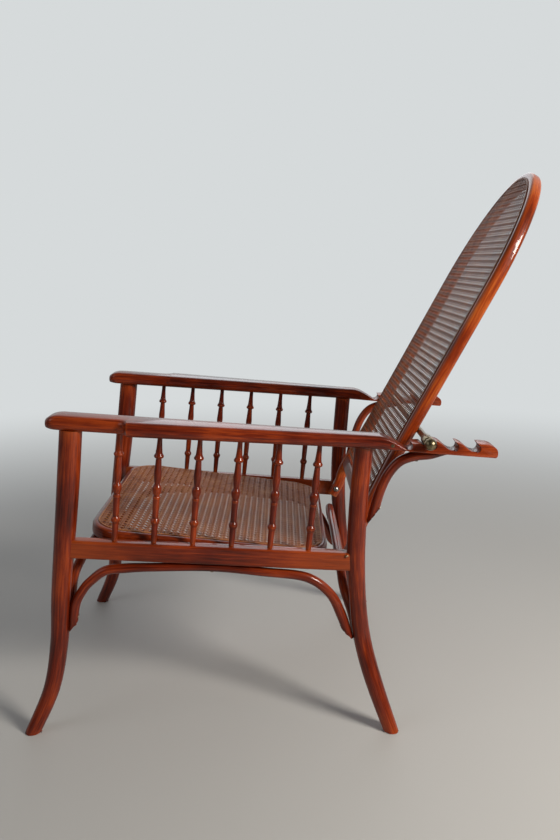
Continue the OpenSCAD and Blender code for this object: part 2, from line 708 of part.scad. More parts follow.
module side_arch(s) {
    color(WOOD_DARK) placed() on_side(s) {
        difference() {
            bent_stick(side_arch_line, [1, 0, 0]);
            leg_space(front_leg_curve, side_arch_front_z + 76, side_arch_front_z - 8, fit);
            slant(side_front_end[1] + side_front_end[3] + 2, side_arch_front_z, 50);
            leg_space(rear_leg_curve, side_arch_rear_z + 86, side_arch_rear_z - 14, leg_gap);
            slant(side_rear_end[1] - side_rear_end[3] - 2, side_arch_rear_z, -40);
            screw(side_arch_screw_front[0], side_arch_screw_front[1], fit);
            screw(side_arch_screw_rear[0], side_arch_screw_rear[1], fit);
            screw(side_arch_screw_crown[0], side_arch_screw_crown[1], fit);
        }
    }
}
module front_arch() {
    color(WOOD_DARK) placed() difference() {
        bent_stick(front_arch_line, [0, 1, 0]);
        for (s = [1, -1]) on_side(s) {
            leg_space(front_leg_curve, front_arch_z + 74, front_arch_z - 16, fit);
            screw(front_arch_screw[0], front_arch_screw[1], fit);
            screw(seat_arch_screw[0], seat_arch_screw[1], fit);
        }
    }
}
module rear_arch() {
    color(WOOD_DARK) placed() difference() {
        bent_stick(rear_arch_line, [0, 1, 0]);
        for (s = [1, -1]) on_side(s) {
            leg_space(rear_leg_curve, rear_arch_z + 79, rear_arch_z - 19, leg_gap);
            screw(rear_arch_screw[0], rear_arch_screw[1], fit);
        }
    }
}

// Seat ring in plan: rounded outline, inset by "e" from the rails
seat_y1 = rail_a[1] + 36;
seat_y2 = rail_b[1] - 46;
function seat_edge_x(y) = side_x(y, rail_z(y) - rail_h / 2) - rail_w / 2 - 0.4;
function quarter_arc(x, y, r, a, n = 8) =
    [for (k = [0:n]) [x + r * cos(a + 90 * k / n), y + r * sin(a + 90 * k / n)]];
function seat_outline(e) =
    let (
        r = seat_corner - e,
        c = seat_corner,
        xf = seat_edge_x(seat_y1 + c),
        xr = seat_edge_x(seat_y2 - c)
    )
    concat(
        quarter_arc(xr - c, seat_y2 - c, r, 0),
        quarter_arc(c - xr, seat_y2 - c, r, 90),
        quarter_arc(c - xf, seat_y1 + c, r, 180),
        quarter_arc(xf - c, seat_y1 + c, r, 270)
    );
module on_seat() {
    translate([0, seat_y1, seat_front_z]) rotate([-seat_fall, 0, 0]) translate([0, -seat_y1, 0]) children();
}
// Dowels between a rail and the seat ring
function dowel_y(i) = mix(seat_y1 + seat_corner, seat_y2 - seat_corner, (i - 1) / 2);
function seat_mid_z(y) = seat_front_z - tan(seat_fall) * (y - seat_y1) - seat_t / 2;
module seat_dowel(i, grow = 0) {
    y = dowel_y(i);
    z = mix(seat_mid_z(y), rail_z(y), 0.55);
    x = seat_edge_x(y);
    rod([x - 13 - grow, y, z], [x + 13 + grow, y, z], dowel_d / 2 + grow);
}
module seat_ring() {
    outer = seat_outline(seat_rim / 2);
    ring = [for (p = outer) [p[0], p[1], -seat_t / 2]];
    m = len(ring);
    profile = soft_box(seat_rim, seat_t, 6, 2);
    color(WOOD) placed() difference() {
        on_seat() closed_skin([
            for (i = [0:m - 1])
                let (
                    way = unit(ring[(i + 1) % m] - ring[(i + m - 1) % m]),
                    side = cross(way, [0, 0, 1])
                )
                [for (p = profile) ring[i] + side * p[0] + [0, 0, p[1]]]
        ]);
        for (s = [1, -1]) on_side(s) {
            for (i = [1:3]) seat_dowel(i, fit);
            screw(seat_arch_screw[0], seat_arch_screw[1], fit);
        }
    }
}
// Square gaps of the cane inside an outline box, kept where "inside" holds
module seat_cane() {
    n = floor((seat_edge_x(seat_y1 + seat_corner) - seat_rim) / cane_pitch);
    rows = floor((seat_y2 - seat_y1 - 2 * seat_rim - 8) / cane_pitch);
    gap = cane_pitch * 0.5;
    reach = seat_corner - seat_rim - 6;
    mid = (seat_y1 + seat_y2) / 2;
    function clear(x, y) =
        let (
            xe = seat_edge_x(y) - seat_rim - gap * 0.75,
            ye = (seat_y2 - seat_y1) / 2 - seat_rim - gap * 0.75,
            dx = max(0, abs(x) - (xe - reach)),
            dy = max(0, abs(y - mid) - (ye - reach))
        )
        abs(x) <= xe && abs(y - mid) <= ye && norm([dx, dy]) <= reach;
    color(CANE) placed() on_seat() translate([0, 0, fit]) linear_extrude(height = cane_t) difference() {
        polygon(seat_outline(seat_rim - seat_cane_lap));
        for (i = [-n:n], j = [0:rows - 1])
            let (x = i * cane_pitch, y = mid + (j - (rows - 1) / 2) * cane_pitch)
                if (clear(x, y)) translate([x, y]) square(gap, center = true);
    }
}

// Path of the middle of the hoop's stick: [x, s, n] from one pivot to the other
hoop_mid = back_half - hoop_w / 2;
foot_mid = hoop_foot_half - hoop_w / 2;
arch_rise = back_arch - hoop_w / 2;
arch_s = back_l - back_arch;
hoop_side = curve([
    [foot_mid, -hoop_end, 0],
    [foot_mid, 16, 0],
    [foot_mid - 1, 34, hoop_set * 0.5],
    [foot_mid - 5, 58, hoop_set * 0.94],
    [mix(foot_mid, hoop_mid, 0.45), 95, hoop_set],
    [hoop_mid + 3, 180, hoop_set],
    [hoop_mid, 320, hoop_set],
    [hoop_mid, arch_s, hoop_set]
]);
hoop_arch = [for (a = [6:6:174]) [hoop_mid * cos(a), arch_s + arch_rise * sin(a), hoop_set]];
function other_side(p) = [-p[0], p[1], p[2]];
hoop_path = concat(hoop_side, hoop_arch, [for (i = [len(hoop_side) - 1:-1:0]) other_side(hoop_side[i])]);
module hoop_blank() {
    path = [for (p = hoop_path) back_point(p[0], p[1], p[2])];
    skin(carried(path, soft_box(hoop_w, hoop_t, hoop_round, 2), -back_out));
}
lower_rail_s = 74;
lower_rail_h = 30;
lower_rail_t = 20;
lower_rail_n = hoop_set * 0.9;
function hoop_x_at(s) = lookup(s, [for (p = hoop_side) [p[1], p[0]]]);
lower_rail_half = hoop_x_at(lower_rail_s) - hoop_w / 2 - 1.2;
// Half the rail's length at height s, where its shoulder meets the sloping hoop
function shoulder_x(s) = hoop_x_at(s) - hoop_w / 2 - 1;
module lower_rail_tenons(grow = 0) {
    for (s = [1, -1])
        rod(back_point(s * (lower_rail_half - 3), lower_rail_s, lower_rail_n),
            back_point(s * (lower_rail_half + 12), lower_rail_s, lower_rail_n), 6 + grow);
}
module back_hoop() {
    color(WOOD) placed() difference() {
        hoop_blank();
        for (s = [1, -1]) on_side(s) pivot_rod(foot_mid - 30, foot_mid + 30, pivot_d / 2 + fit);
        lower_rail_tenons(fit);
    }
}
module back_lower_rail() {
    a = back_point(-lower_rail_half, lower_rail_s, lower_rail_n);
    b = back_point(lower_rail_half, lower_rail_s, lower_rail_n);
    reach = [for (i = [-1, 1]) let (s = lower_rail_s + i * lower_rail_h) [shoulder_x(s), s]];
    color(WOOD_DARK) placed() {
        intersection() {
            along(a, b) rotate([0, 0, -back_lean]) translate([0, 0, -10])
                linear_extrude(height = norm(b - a) + 20) polygon(soft_box(lower_rail_h, lower_rail_t, 5, 3));
            translate(back_point(0, 0, lower_rail_n + lower_rail_t)) rotate([90 - back_lean, 0, 0])
                linear_extrude(height = 2 * lower_rail_t)
                    polygon([for (p = reach) p, for (i = [1, 0]) [-reach[i][0], reach[i][1]]]);
        }
        lower_rail_tenons();
    }
}
// Cane of the back: lies on the front faces of the hoop and the lower rail
cane_n = hoop_set - hoop_t / 2 - 2 * fit;
cane_foot = lower_rail_s + 26;
module back_cane() {
    gap = cane_pitch * 0.5;
    half = hoop_mid - hoop_w / 2 + back_cane_lap;
    clear_half = hoop_mid - hoop_w / 2 - gap * 0.8;
    clear_rise = arch_rise - hoop_w / 2 - gap * 0.8;
    foot_half_x = hoop_x_at(cane_foot) - hoop_w / 2 + back_cane_lap - 5;
    n = floor(clear_half / cane_pitch);
    rows = floor((back_l - hoop_w - cane_foot - 24) / cane_pitch);
    outline = concat(
        [[-foot_half_x, cane_foot], [foot_half_x, cane_foot], [half, 180]],
        [for (a = [0:7.5:180]) [half * cos(a), arch_s + (arch_rise - hoop_w / 2 + back_cane_lap) * sin(a)]],
        [[-half, 180]]
    );
    color(CANE) placed()
        translate(back_point(0, 0, cane_n)) rotate([90 - back_lean, 0, 0])
            linear_extrude(height = cane_t) difference() {
                polygon(outline);
                for (i = [-n:n], j = [0:rows - 1])
                    let (x = i * cane_pitch, s = cane_foot + 24 + (j + 0.5) * cane_pitch)
                        if (s < arch_s || pow(x / clear_half, 2) + pow((s - arch_s) / clear_rise, 2) < 1)
                            translate([x, s]) square(gap, center = true);
            }
}

// Rack: toothed board lapped to the inner half of the arm's tail
rack_points = concat(
    [shoulder(0, 0.02), shoulder(0, 0.8)], long_slope, first_pocket,
    notch(1), notch(2), notch(3),
    [
        tip(3) + [10, -0.2], tip(3) + [20, -1.6], [rack_end - 8, tip(3)[1] - 4],
        [rack_end - 2, tip(3)[1] - 9], [rack_end, tip(3)[1] - 14], [rack_end, rack_under(rack_end) + 5],
        [rack_end - 3, rack_under(rack_end - 3)], [rack_start + 36, rack_under(rack_start + 36)]
    ]
);
module rack(s) {
    color(WOOD) placed() on_side(s) difference() {
        translate([rack_inner, 0, 0]) rotate([90, 0, 90])
            linear_extrude(height = rack_outer - rack_inner) polygon(rack_points);
        translate([lap_x, rack_start - 10, arm_z - 120])
            cube([60, 10 + arm_tail_y - rack_start + rest_gap, 200]);
        screw(lap_screw[0], lap_screw[1], fit);
        screw(brace_screw_rack[0], brace_screw_rack[1], fit);
    }
}
module rack_brace(s) {
    color(WOOD_DARK) placed() on_side(s) difference() {
        bent_stick(brace_line, [1, 0, 0]);
        leg_space(rear_leg_curve, brace_foot_z + 46, brace_foot_z - 34, fit);
        slant(brace_foot[1] + brace_foot[3] + 1.5, brace_foot_z, 54);
        translate([0, rack_start + 36, rack_under(rack_start + 36) - fit]) rotate([-rack_fall, 0, 0])
            translate([0, -60, 0]) cube([400, 260, 60]);
        screw(brace_screw_leg[0], brace_screw_leg[1], fit);
        screw(brace_screw_rack[0], brace_screw_rack[1], fit);
    }
}

// Support bar: turned brass rod with a collar for each rack and a spigot for each ball
collar_in = rack_inner + 5;
collar_out = rack_outer - 3;
bar_half = rack_outer + 3;
ball_x = bar_half + ball_d / 2 - 1.5;
spigot_r = 4;
module bar_axis() {
    translate([0, bar_y, bar_z]) rotate([0, 90, 0]) children();
}
module bar_rod() {
    r = bar_d / 2;
    half = [[r, 0], [r, bar_half], [spigot_r, bar_half], [spigot_r, ball_x + 3], [0, ball_x + 3]];
    color(BRASS) placed() bar_axis() rotate_extrude($fn = 64)
        polygon(concat([for (i = [len(half) - 1:-1:1]) [half[i][0], -half[i][1]]], half));
}
// Collar that lies in a notch and keeps the bar from sliding endways
module bar_collar(s) {
    r = bar_d / 2 + fit;
    c = collar_d / 2;
    edge = 1.2;
    color(BRASS) placed() on_side(s) bar_axis() rotate_extrude($fn = 64) polygon([
        [r, collar_in], [c - edge, collar_in], [c, collar_in + edge], [c, collar_out - edge],
        [c - edge, collar_out], [r, collar_out]
    ]);
}
module bar_ball(s) {
    color(BRASS) placed() on_side(s) difference() {
        bar_axis() translate([0, 0, ball_x]) sphere(d = ball_d, $fn = 48);
        rod([bar_half - 20, bar_y, bar_z], [bar_half + fit, bar_y, bar_z], ball_d);
        rod([bar_half - 2, bar_y, bar_z], [ball_x + 3 + fit, bar_y, bar_z], spigot_r + fit);
    }
}

// Pivot bolt with a domed head inside the hoop
module pivot_bolt(s) {
    inner = foot_mid - hoop_w / 2 - rest_gap;
    color(STEEL) placed() on_side(s) {
        rod([inner - 1, pivot_y, pivot_z], [pivot_bolt_end, pivot_y, pivot_z], pivot_d / 2, 48);
        intersection() {
            translate([inner + 3.4, pivot_y, pivot_z]) sphere(d = head_d + 1.6, $fn = 48);
            rod([inner - 8, pivot_y, pivot_z], [inner, pivot_y, pivot_z], head_d / 2, 48);
        }
    }
}
module pivot_washers() {
    color(STEEL) placed() for (s = [1, -1]) on_side(s)
        translate([pivot_pin_face - washer_t + fit, pivot_y, pivot_z]) rotate([0, 90, 0]) difference() {
            cylinder(h = washer_t - 2 * fit, d = washer_d, $fn = 48);
            translate([0, 0, -1]) cylinder(h = washer_t + 2, d = pivot_d + 2 * fit, $fn = 48);
        }
}
module arch_screws() {
    places = [
        side_arch_screw_front, side_arch_screw_rear, side_arch_screw_crown,
        front_arch_screw, rear_arch_screw, seat_arch_screw
    ];
    color(BRASS) placed() for (s = [1, -1]) on_side(s)
        for (p = places) screw(p[0], p[1]);
}
module rail_screws() {
    color(BRASS) placed() for (s = [1, -1]) on_side(s)
        screw(rail_screw[0], rail_screw[1]);
}
module brace_screws() {
    color(BRASS) placed() for (s = [1, -1]) on_side(s)
        for (p = [brace_screw_leg, brace_screw_rack]) screw(p[0], p[1]);
}
module lap_screws() {
    color(BRASS) placed() for (s = [1, -1]) on_side(s)
        screw(lap_screw[0], lap_screw[1]);
}
module seat_dowels() {
    color(WOOD_DARK) placed() for (s = [1, -1]) on_side(s)
        for (i = [1:3]) seat_dowel(i);
}

SIDES = [["left", 1], ["right", -1]];
PAIRS = [
    "front_leg", "rear_leg", "side_rail", "arm", "side_arch",
    "rack", "rack_brace", "bar_collar", "bar_ball", "pivot_bolt"
];
SINGLES = [
    "front_arch", "rear_arch", "seat_ring", "seat_cane", "back_hoop", "back_lower_rail", "back_cane",
    "bar_rod", "pivot_washers", "rail_screws", "arch_screws", "brace_screws", "lap_screws", "seat_dowels"
];

for (s = SIDES) {
    front_leg(s[1]);
    rear_leg(s[1]);
    side_rail(s[1]);
    arm(s[1]);
    side_arch(s[1]);
    rack(s[1]);
    rack_brace(s[1]);
    bar_collar(s[1]);
    bar_ball(s[1]);
    pivot_bolt(s[1]);
    for (i = [1:spindle_count])
        spindle(s[1], i);
}
front_arch();
rear_arch();
seat_ring();
seat_cane();
back_hoop();
back_lower_rail();
back_cane();
bar_rod();
pivot_washers();
rail_screws();
arch_screws();
brace_screws();
lap_screws();
seat_dowels();
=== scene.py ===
"""Reclining armchair in bent beech, with a caned seat and a caned folding back.

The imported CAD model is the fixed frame. The bent sticks, boards and turnings are rebuilt
here in the same places at full smoothness, the cane is woven strand by strand, and every
surface gets the material of the real one. Lengths are in millimetres until a mesh is
made; along the chair (y) they are measured back from the front feet.
"""

from __future__ import annotations

import json
import logging
import math
import random
from dataclasses import dataclass, field
from enum import Enum
from typing import Callable, Iterable, NamedTuple, Sequence

import bmesh
import bpy
from mathutils import Matrix, Vector

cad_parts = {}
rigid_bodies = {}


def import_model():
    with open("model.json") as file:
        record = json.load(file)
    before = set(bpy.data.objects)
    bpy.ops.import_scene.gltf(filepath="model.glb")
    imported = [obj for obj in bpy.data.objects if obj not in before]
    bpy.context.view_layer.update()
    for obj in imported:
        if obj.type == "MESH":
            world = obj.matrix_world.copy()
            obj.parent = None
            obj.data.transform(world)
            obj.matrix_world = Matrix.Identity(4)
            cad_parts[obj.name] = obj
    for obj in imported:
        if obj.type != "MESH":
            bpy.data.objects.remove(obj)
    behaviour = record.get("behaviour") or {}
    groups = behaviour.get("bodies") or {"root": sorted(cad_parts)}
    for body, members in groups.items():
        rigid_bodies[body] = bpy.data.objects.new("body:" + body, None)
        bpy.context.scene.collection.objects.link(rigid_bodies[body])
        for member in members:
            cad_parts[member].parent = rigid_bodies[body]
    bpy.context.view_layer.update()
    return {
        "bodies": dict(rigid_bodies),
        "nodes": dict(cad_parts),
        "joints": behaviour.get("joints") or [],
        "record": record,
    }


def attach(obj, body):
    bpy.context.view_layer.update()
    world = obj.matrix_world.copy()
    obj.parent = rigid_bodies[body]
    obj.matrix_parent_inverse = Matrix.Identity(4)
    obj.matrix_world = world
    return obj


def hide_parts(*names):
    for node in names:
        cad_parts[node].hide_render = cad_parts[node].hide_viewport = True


LOG = logging.getLogger("armchair")

MM = 0.001
FOOTPRINT_MIDDLE_Y = 473.856
GRAIN = "grain"
TINT = "tint"
OUTLINE = "outline"
SAWN = "sawn"
BEECH_SLOT = "varnished_beech"
BRASS_SLOT = "aged_brass"
SAME_PLACE = 1e-7
CRISP_FROM = 38.0
SAWN_ARRIS = 2.2 * MM


class Side(Enum):
    """Sides of the chair, by the sign of x."""

    LEFT = 1
    RIGHT = -1

    @property
    def word(self) -> str:
        """The side's name, as the CAD nodes use it."""
        return self.name.lower()


class Body(Enum):
    """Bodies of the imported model."""

    FRAME = "frame"
    BACK = "back"
    BAR = "bar"


class Guide(NamedTuple):
    """Guide point of a bent stick, with its radius there, in millimetres."""

    x: float
    y: float
    z: float
    r: float = 1.0


class Section(NamedTuple):
    """Cross-section of a board: its frame in the room and its size, in metres."""

    frame: Matrix
    width: float
    depth: float
    radius: float


def mix(a: float, b: float, share: float) -> float:
    """Value between a and b."""
    return a + (b - a) * share


def room(x: float, y: float, z: float) -> Vector:
    """Point of the room in metres, from millimetres behind the front feet."""
    return Vector((x, y - FOOTPRINT_MIDDLE_Y, z)) * MM


def smooth_curve(points: Sequence[Sequence[float]], steps: int) -> list[tuple[float, ...]]:
    """Runs a smooth curve through guide points of any number of values each.

    Args:
        points: Guide points.
        steps: Steps between two guide points.

    Returns:
        Points of the curve, the guide points among them.
    """
    last = len(points) - 1
    out: list[tuple[float, ...]] = []
    for i in range(last):
        near = [points[j] for j in (max(i - 1, 0), i, i + 1, min(i + 2, last))]
        for k in range(steps):
            t = k / steps
            out.append(tuple(
                0.5 * (2 * b + (c - a) * t + (2 * a - 5 * b + 4 * c - d) * t * t
                       + (3 * b - a - 3 * c + d) * t**3)
                for a, b, c, d in zip(*near)
            ))
    out.append(tuple(points[last]))
    return out


def look_up(x: float, table: Sequence[tuple[float, float]]) -> float:
    """Straight-line value at x between the rows of a table.

    Args:
        x: Where to look.
        table: Rows of x and value, x rising.

    Returns:
        The value, held level beyond both ends.
    """
    if x <= table[0][0]:
        return table[0][1]
    for (x0, y0), (x1, y1) in zip(table, table[1:]):
        if x <= x1:
            return mix(y0, y1, (x - x0) / (x1 - x0))
    return table[-1][1]


def frames_along(path: Sequence[Vector], up: Vector, closed: bool = False) -> list[Matrix]:
    """Sets a frame at each point of a path, its z axis along the path.

    Args:
        path: Points in metres.
        up: Direction that the second axis stays close to.
        closed: Whether the last point runs on to the first.

    Returns:
        One matrix for each point.
    """
    last = len(path) - 1
    frames = []
    for i, point in enumerate(path):
        before = path[i - 1] if closed else path[max(i - 1, 0)]
        after = path[(i + 1) % (last + 1)] if closed else path[min(i + 1, last)]
        way = (after - before).normalized()
        across = way.cross(up).normalized()
        frame = Matrix((across, across.cross(way), way)).transposed().to_4x4()
        frame.translation = point
        frames.append(frame)
    return frames


def turned_to(a: Vector, b: Vector) -> Matrix:
    """Matrix that puts the origin at a and turns +Z towards b."""
    return Matrix.Translation(a) @ (b - a).to_track_quat("Z", "Y").to_matrix().to_4x4()


def aimed(at: Vector, way: Vector) -> Matrix:
    """Matrix that puts the origin at a point and turns -Z along a direction."""
    return Matrix.Translation(at) @ way.to_track_quat("-Z", "Y").to_matrix().to_4x4()


def as_object(name: str, bm: bmesh.types.BMesh) -> bpy.types.Object:
    """Makes an object of a bmesh, at the origin, and lets the bmesh go.

    Args:
        name: The object's name.
        bm: Its mesh.

    Returns:
        The new object.
    """
    data = bpy.data.meshes.new(name)
    bm.to_mesh(data)
    bm.free()
    thing = bpy.data.objects.new(name, data)
    bpy.context.scene.collection.objects.link(thing)
    return thing


class Workpiece:
    """A piece in the making: a bmesh that remembers how its grain runs."""

    def __init__(self) -> None:
        """Starts an empty piece with room for its grain, outline and saw marks."""
        self.bm = bmesh.new()
        self.grain = self.bm.verts.layers.float_vector.new(GRAIN)
        self.outline = self.bm.verts.layers.float_vector.new(OUTLINE)
        self.sawn = self.bm.edges.layers.int.new(SAWN)

    def round_face(self, sides: int = 24) -> bmesh.types.BMFace:
        """Starts a round section of radius 1.

        Args:
            sides: Sides of the section.

        Returns:
            The section's face.
        """
        made = bmesh.ops.create_circle(self.bm, cap_ends=True, radius=1.0, segments=sides)
        return self._noted(made["verts"])

    def board_face(self, corner_steps: int = 4) -> bmesh.types.BMFace:
        """Starts a square section 4 wide with corners of radius 1.

        Args:
            corner_steps: Steps round each corner.

        Returns:
            The section's face.
        """
        made = bmesh.ops.create_grid(self.bm, x_segments=1, y_segments=1, size=2.0)
        self._round_off(made["verts"], 1.0, corner_steps, "VERTICES")
        return self._noted(self.bm.verts)

    def _round_off(self, geom: list, width: float, steps: int, affect: str = "EDGES",
                   clamp: bool = False) -> None:
        """Bevels edges or corners to a rounding."""
        bmesh.ops.bevel(self.bm, geom=geom, offset=width, offset_type="OFFSET", segments=steps,
                        affect=affect, profile=0.5, material=-1, clamp_overlap=clamp)

    def _noted(self, verts: Iterable[bmesh.types.BMVert]) -> bmesh.types.BMFace:
        """Notes each vertex's place in the unit section and returns its face.

        Args:
            verts: A section's vertices.

        Returns:
            The face they bound.
        """
        verts = list(verts)
        for v in verts:
            v[self.outline] = v.co
        return verts[0].link_faces[0]

    def _settle(self, verts: Iterable[bmesh.types.BMVert], frame: Matrix,
                fit: Callable[[Vector], Vector], along: float) -> None:
        """Moves a section's vertices into place and notes their grain.

        Args:
            verts: A section's vertices.
            frame: Frame of the section.
            fit: Takes the unit section to its size.
            along: Distance along the piece, in metres.
        """
        for v in verts:
            local = fit(Vector(v[self.outline]))
            v.co = frame @ local
            v[self.grain] = (along, local.x, local.y)

    def sweep(self, face: bmesh.types.BMFace, frames: Sequence[Matrix],
              fits: Sequence[Callable[[Vector], Vector]]) -> None:
        """Extrudes a section from frame to frame into a closed stick.

        Args:
            face: The unit section.
            frames: Frames along the stick.
            fits: For each frame, what a point of the unit section becomes there.
        """
        along = 0.0
        self._settle(face.verts, frames[0], fits[0], along)
        for i in range(1, len(frames)):
            along += (frames[i].translation - frames[i - 1].translation).length
            made = bmesh.ops.extrude_face_region(self.bm, geom=[face])["geom"]
            face = next(g for g in made if isinstance(g, bmesh.types.BMFace))
            self._settle(face.verts, frames[i], fits[i], along)

    def ring(self, face: bmesh.types.BMFace, frames: Sequence[Matrix],
             fits: Sequence[Callable[[Vector], Vector]]) -> None:
        """Extrudes a section round a closed path and bridges the ends.

        Args:
            face: The unit section.
            frames: Frames round the ring.
            fits: For each frame, what a point of the unit section becomes there.
        """
        along = 0.0
        first = list(face.edges)
        self._settle(face.verts, frames[0], fits[0], along)
        bmesh.ops.delete(self.bm, geom=[face], context="FACES_ONLY")
        edges = first
        for i in range(1, len(frames)):
            along += (frames[i].translation - frames[i - 1].translation).length
            verts, edges = self.drawn_loop(edges)
            self._settle(verts, frames[i], fits[i], along)
        bmesh.ops.bridge_loops(self.bm, edges=first + edges)

    def drawn_loop(self, edges: list[bmesh.types.BMEdge]
                   ) -> tuple[list[bmesh.types.BMVert], list[bmesh.types.BMEdge]]:
        """Extrudes a loop of edges in place.

        Args:
            edges: The loop.

        Returns:
            The new loop's vertices and its edges.
        """
        made = bmesh.ops.extrude_edge_only(self.bm, edges=edges)["geom"]
        verts = [g for g in made if isinstance(g, bmesh.types.BMVert)]
        fresh = set(verts)
        return verts, [g for g in made
                       if isinstance(g, bmesh.types.BMEdge) and fresh.issuperset(g.verts)]

    def pushed(self, faces: list[bmesh.types.BMFace], step: Vector) -> list[bmesh.types.BMFace]:
        """Extrudes faces by a step.

        Args:
            faces: The faces.
            step: The step in metres.

        Returns:
            The faces at the far end.
        """
        made = bmesh.ops.extrude_face_region(self.bm, geom=faces)["geom"]
        bmesh.ops.translate(self.bm, verts=[g for g in made if isinstance(g, bmesh.types.BMVert)],
                            vec=step)
        return [g for g in made if isinstance(g, bmesh.types.BMFace)]

    def cut(self, point: Vector, outward: Vector, arris: float = 0.0, reach: float = 9.0,
            steps: int = 2) -> None:
        """Saws off what lies beyond a plane near a point and closes the cut.

        Args:
            point: Point of the plane.
            outward: Direction of the waste.
            arris: Width of the softened edge round the cut.
            reach: Distance from the point up to which the saw cuts, in metres.
            steps: Steps across the softened edge.
        """
        bm = self.bm
        near = {g for f in bm.faces if any((v.co - point).length < reach for v in f.verts)
                for g in (f, *f.edges, *f.verts)}
        # In the mesh's own order, since the softened edge depends on it
        geom = [g for g in (*bm.verts, *bm.edges, *bm.faces) if g in near]
        bmesh.ops.bisect_plane(bm, geom=geom, dist=SAME_PLACE, plane_co=point,
                               plane_no=outward, clear_outer=True)
        rim = [e for e in bm.edges if e.is_boundary]
        bmesh.ops.holes_fill(bm, edges=rim)
        if arris:
            self._round_off(rim, arris, steps)
        else:
            for e in rim:
                e[self.sawn] = 1

    def soften(self, width: float, least_angle: float) -> None:
        """Rounds every edge sharper than an angle.

        Args:
            width: Width of the rounding in metres.
            least_angle: Least angle between the faces, in degrees.
        """
        sharp = [e for e in self.bm.edges
                 if len(e.link_faces) == 2 and e.calc_face_angle(0) > math.radians(least_angle)]
        self._round_off(sharp, width, 2, clamp=True)

    def turn(self, profile: Sequence[tuple[float, float]], steps: int,
             a: Vector, b: Vector) -> None:
        """Turns a profile and sets it on the line from a to b.

        Args:
            profile: Distances along and radii, in metres.
            steps: Steps round.
            a: Where the profile begins.
            b: Point that it runs towards.
        """
        verts = [self.bm.verts.new((r, 0.0, z)) for z, r in profile]
        edges = [self.bm.edges.new(pair) for pair in zip(verts, verts[1:])]
        bmesh.ops.spin(self.bm, geom=verts + edges, cent=(0, 0, 0), axis=(0, 0, 1),
                       angle=math.tau, steps=steps, use_merge=True)
        bmesh.ops.remove_doubles(self.bm, verts=self.bm.verts, dist=1e-6)
        for v in self.bm.verts:
            v[self.grain] = (v.co.z, v.co.x, v.co.y)
        self.move(turned_to(a, b))

    def move(self, matrix: Matrix) -> None:
        """Carries the whole piece to its place."""
        bmesh.ops.transform(self.bm, matrix=matrix, verts=self.bm.verts)

    def lay_grain(self, along: Vector, across: Vector, over: Vector) -> None:
        """Runs straight grain through the piece along a direction."""
        for v in self.bm.verts:
            v[self.grain] = (v.co.dot(along), v.co.dot(across), v.co.dot(over))

    def mesh(self, name: str, side: Side = Side.LEFT,
             crease: float = CRISP_FROM) -> bpy.types.Object:
        """Makes the object, mirrored for the right side.

        Args:
            name: The object's name.
            side: Side of the chair.
            crease: Angle in degrees beyond which an edge stays crisp.

        Returns:
            The new object, at the origin.
        """
        copy = self.bm.copy()
        sawn = copy.edges.layers.int[SAWN]
        for e in copy.edges:
            flat = len(e.link_faces) == 2 and e.calc_face_angle(0) < math.radians(crease)
            e.smooth = flat and not e[sawn]
        for f in copy.faces:
            f.smooth = True
        copy.edges.layers.int.remove(sawn)
        copy.verts.layers.float_vector.remove(copy.verts.layers.float_vector[OUTLINE])
        if side is Side.RIGHT:
            bmesh.ops.scale(copy, vec=(-1, 1, 1), verts=copy.verts)
        bmesh.ops.recalc_face_normals(copy, faces=copy.faces)
        return as_object(name, copy)


def round_fit(radius: float, flat: float = 1.0) -> Callable[[Vector], Vector]:
    """Fit of the round unit section to a radius in metres, flattened in its depth."""
    return lambda p: Vector((p.x * radius, p.y * radius * flat, 0.0))


def board_fit(width: float, depth: float, radius: float) -> Callable[[Vector], Vector]:
    """Fit of the square unit section to a width, a depth and a corner radius in metres.

    Args:
        width: Size along the section's x axis.
        depth: Size along its y axis.
        radius: Radius of the corners.

    Returns:
        The fit.
    """
    radius = min(radius, width / 2 - 1e-4, depth / 2 - 1e-4)

    def fit(p: Vector) -> Vector:
        """Moves a corner's arc without stretching it."""
        sx, sy = math.copysign(1, p.x), math.copysign(1, p.y)
        return Vector((sx * (width / 2 - radius) + (p.x - sx) * radius,
                       sy * (depth / 2 - radius) + (p.y - sy) * radius, 0.0))

    return fit


def bent_stick(guides: Sequence[Guide], up: Vector, steps: int = 8,
               sides: int = 24) -> Workpiece:
    """Bends a round stick through guide points.

    Args:
        guides: Guide points in millimetres.
        up: Direction that the section's second axis stays close to.
        steps: Steps between two guide points.
        sides: Sides of the section.

    Returns:
        The stick, closed at both ends.
    """
    line = [Guide(*p) for p in smooth_curve(guides, steps)]
    piece = Workpiece()
    frames = frames_along([room(g.x, g.y, g.z) for g in line], up)
    piece.sweep(piece.round_face(sides), frames, [round_fit(g.r * MM) for g in line])
    return piece


def board(sections: Sequence[Section], corner_steps: int = 4) -> Workpiece:
    """Runs a board through its sections.

    Args:
        sections: Cross-sections from end to end.
        corner_steps: Steps round a corner.

    Returns:
        The board, closed at both ends.
    """
    piece = Workpiece()
    fits = [board_fit(s.width, s.depth, s.radius) for s in sections]
    piece.sweep(piece.board_face(corner_steps), [s.frame for s in sections], fits)
    return piece


def linear(hex_colour: str) -> tuple[float, float, float, float]:
    """Turns an sRGB hex colour into linear values.

    Args:
        hex_colour: Hash and six hex digits.

    Returns:
        Red, green, blue and an alpha of 1.
    """
    values = [int(hex_colour[i:i + 2], 16) / 255 for i in (1, 3, 5)]
    r, g, b = (v / 12.92 if v <= 0.04045 else ((v + 0.055) / 1.055) ** 2.4 for v in values)
    return (r, g, b, 1.0)


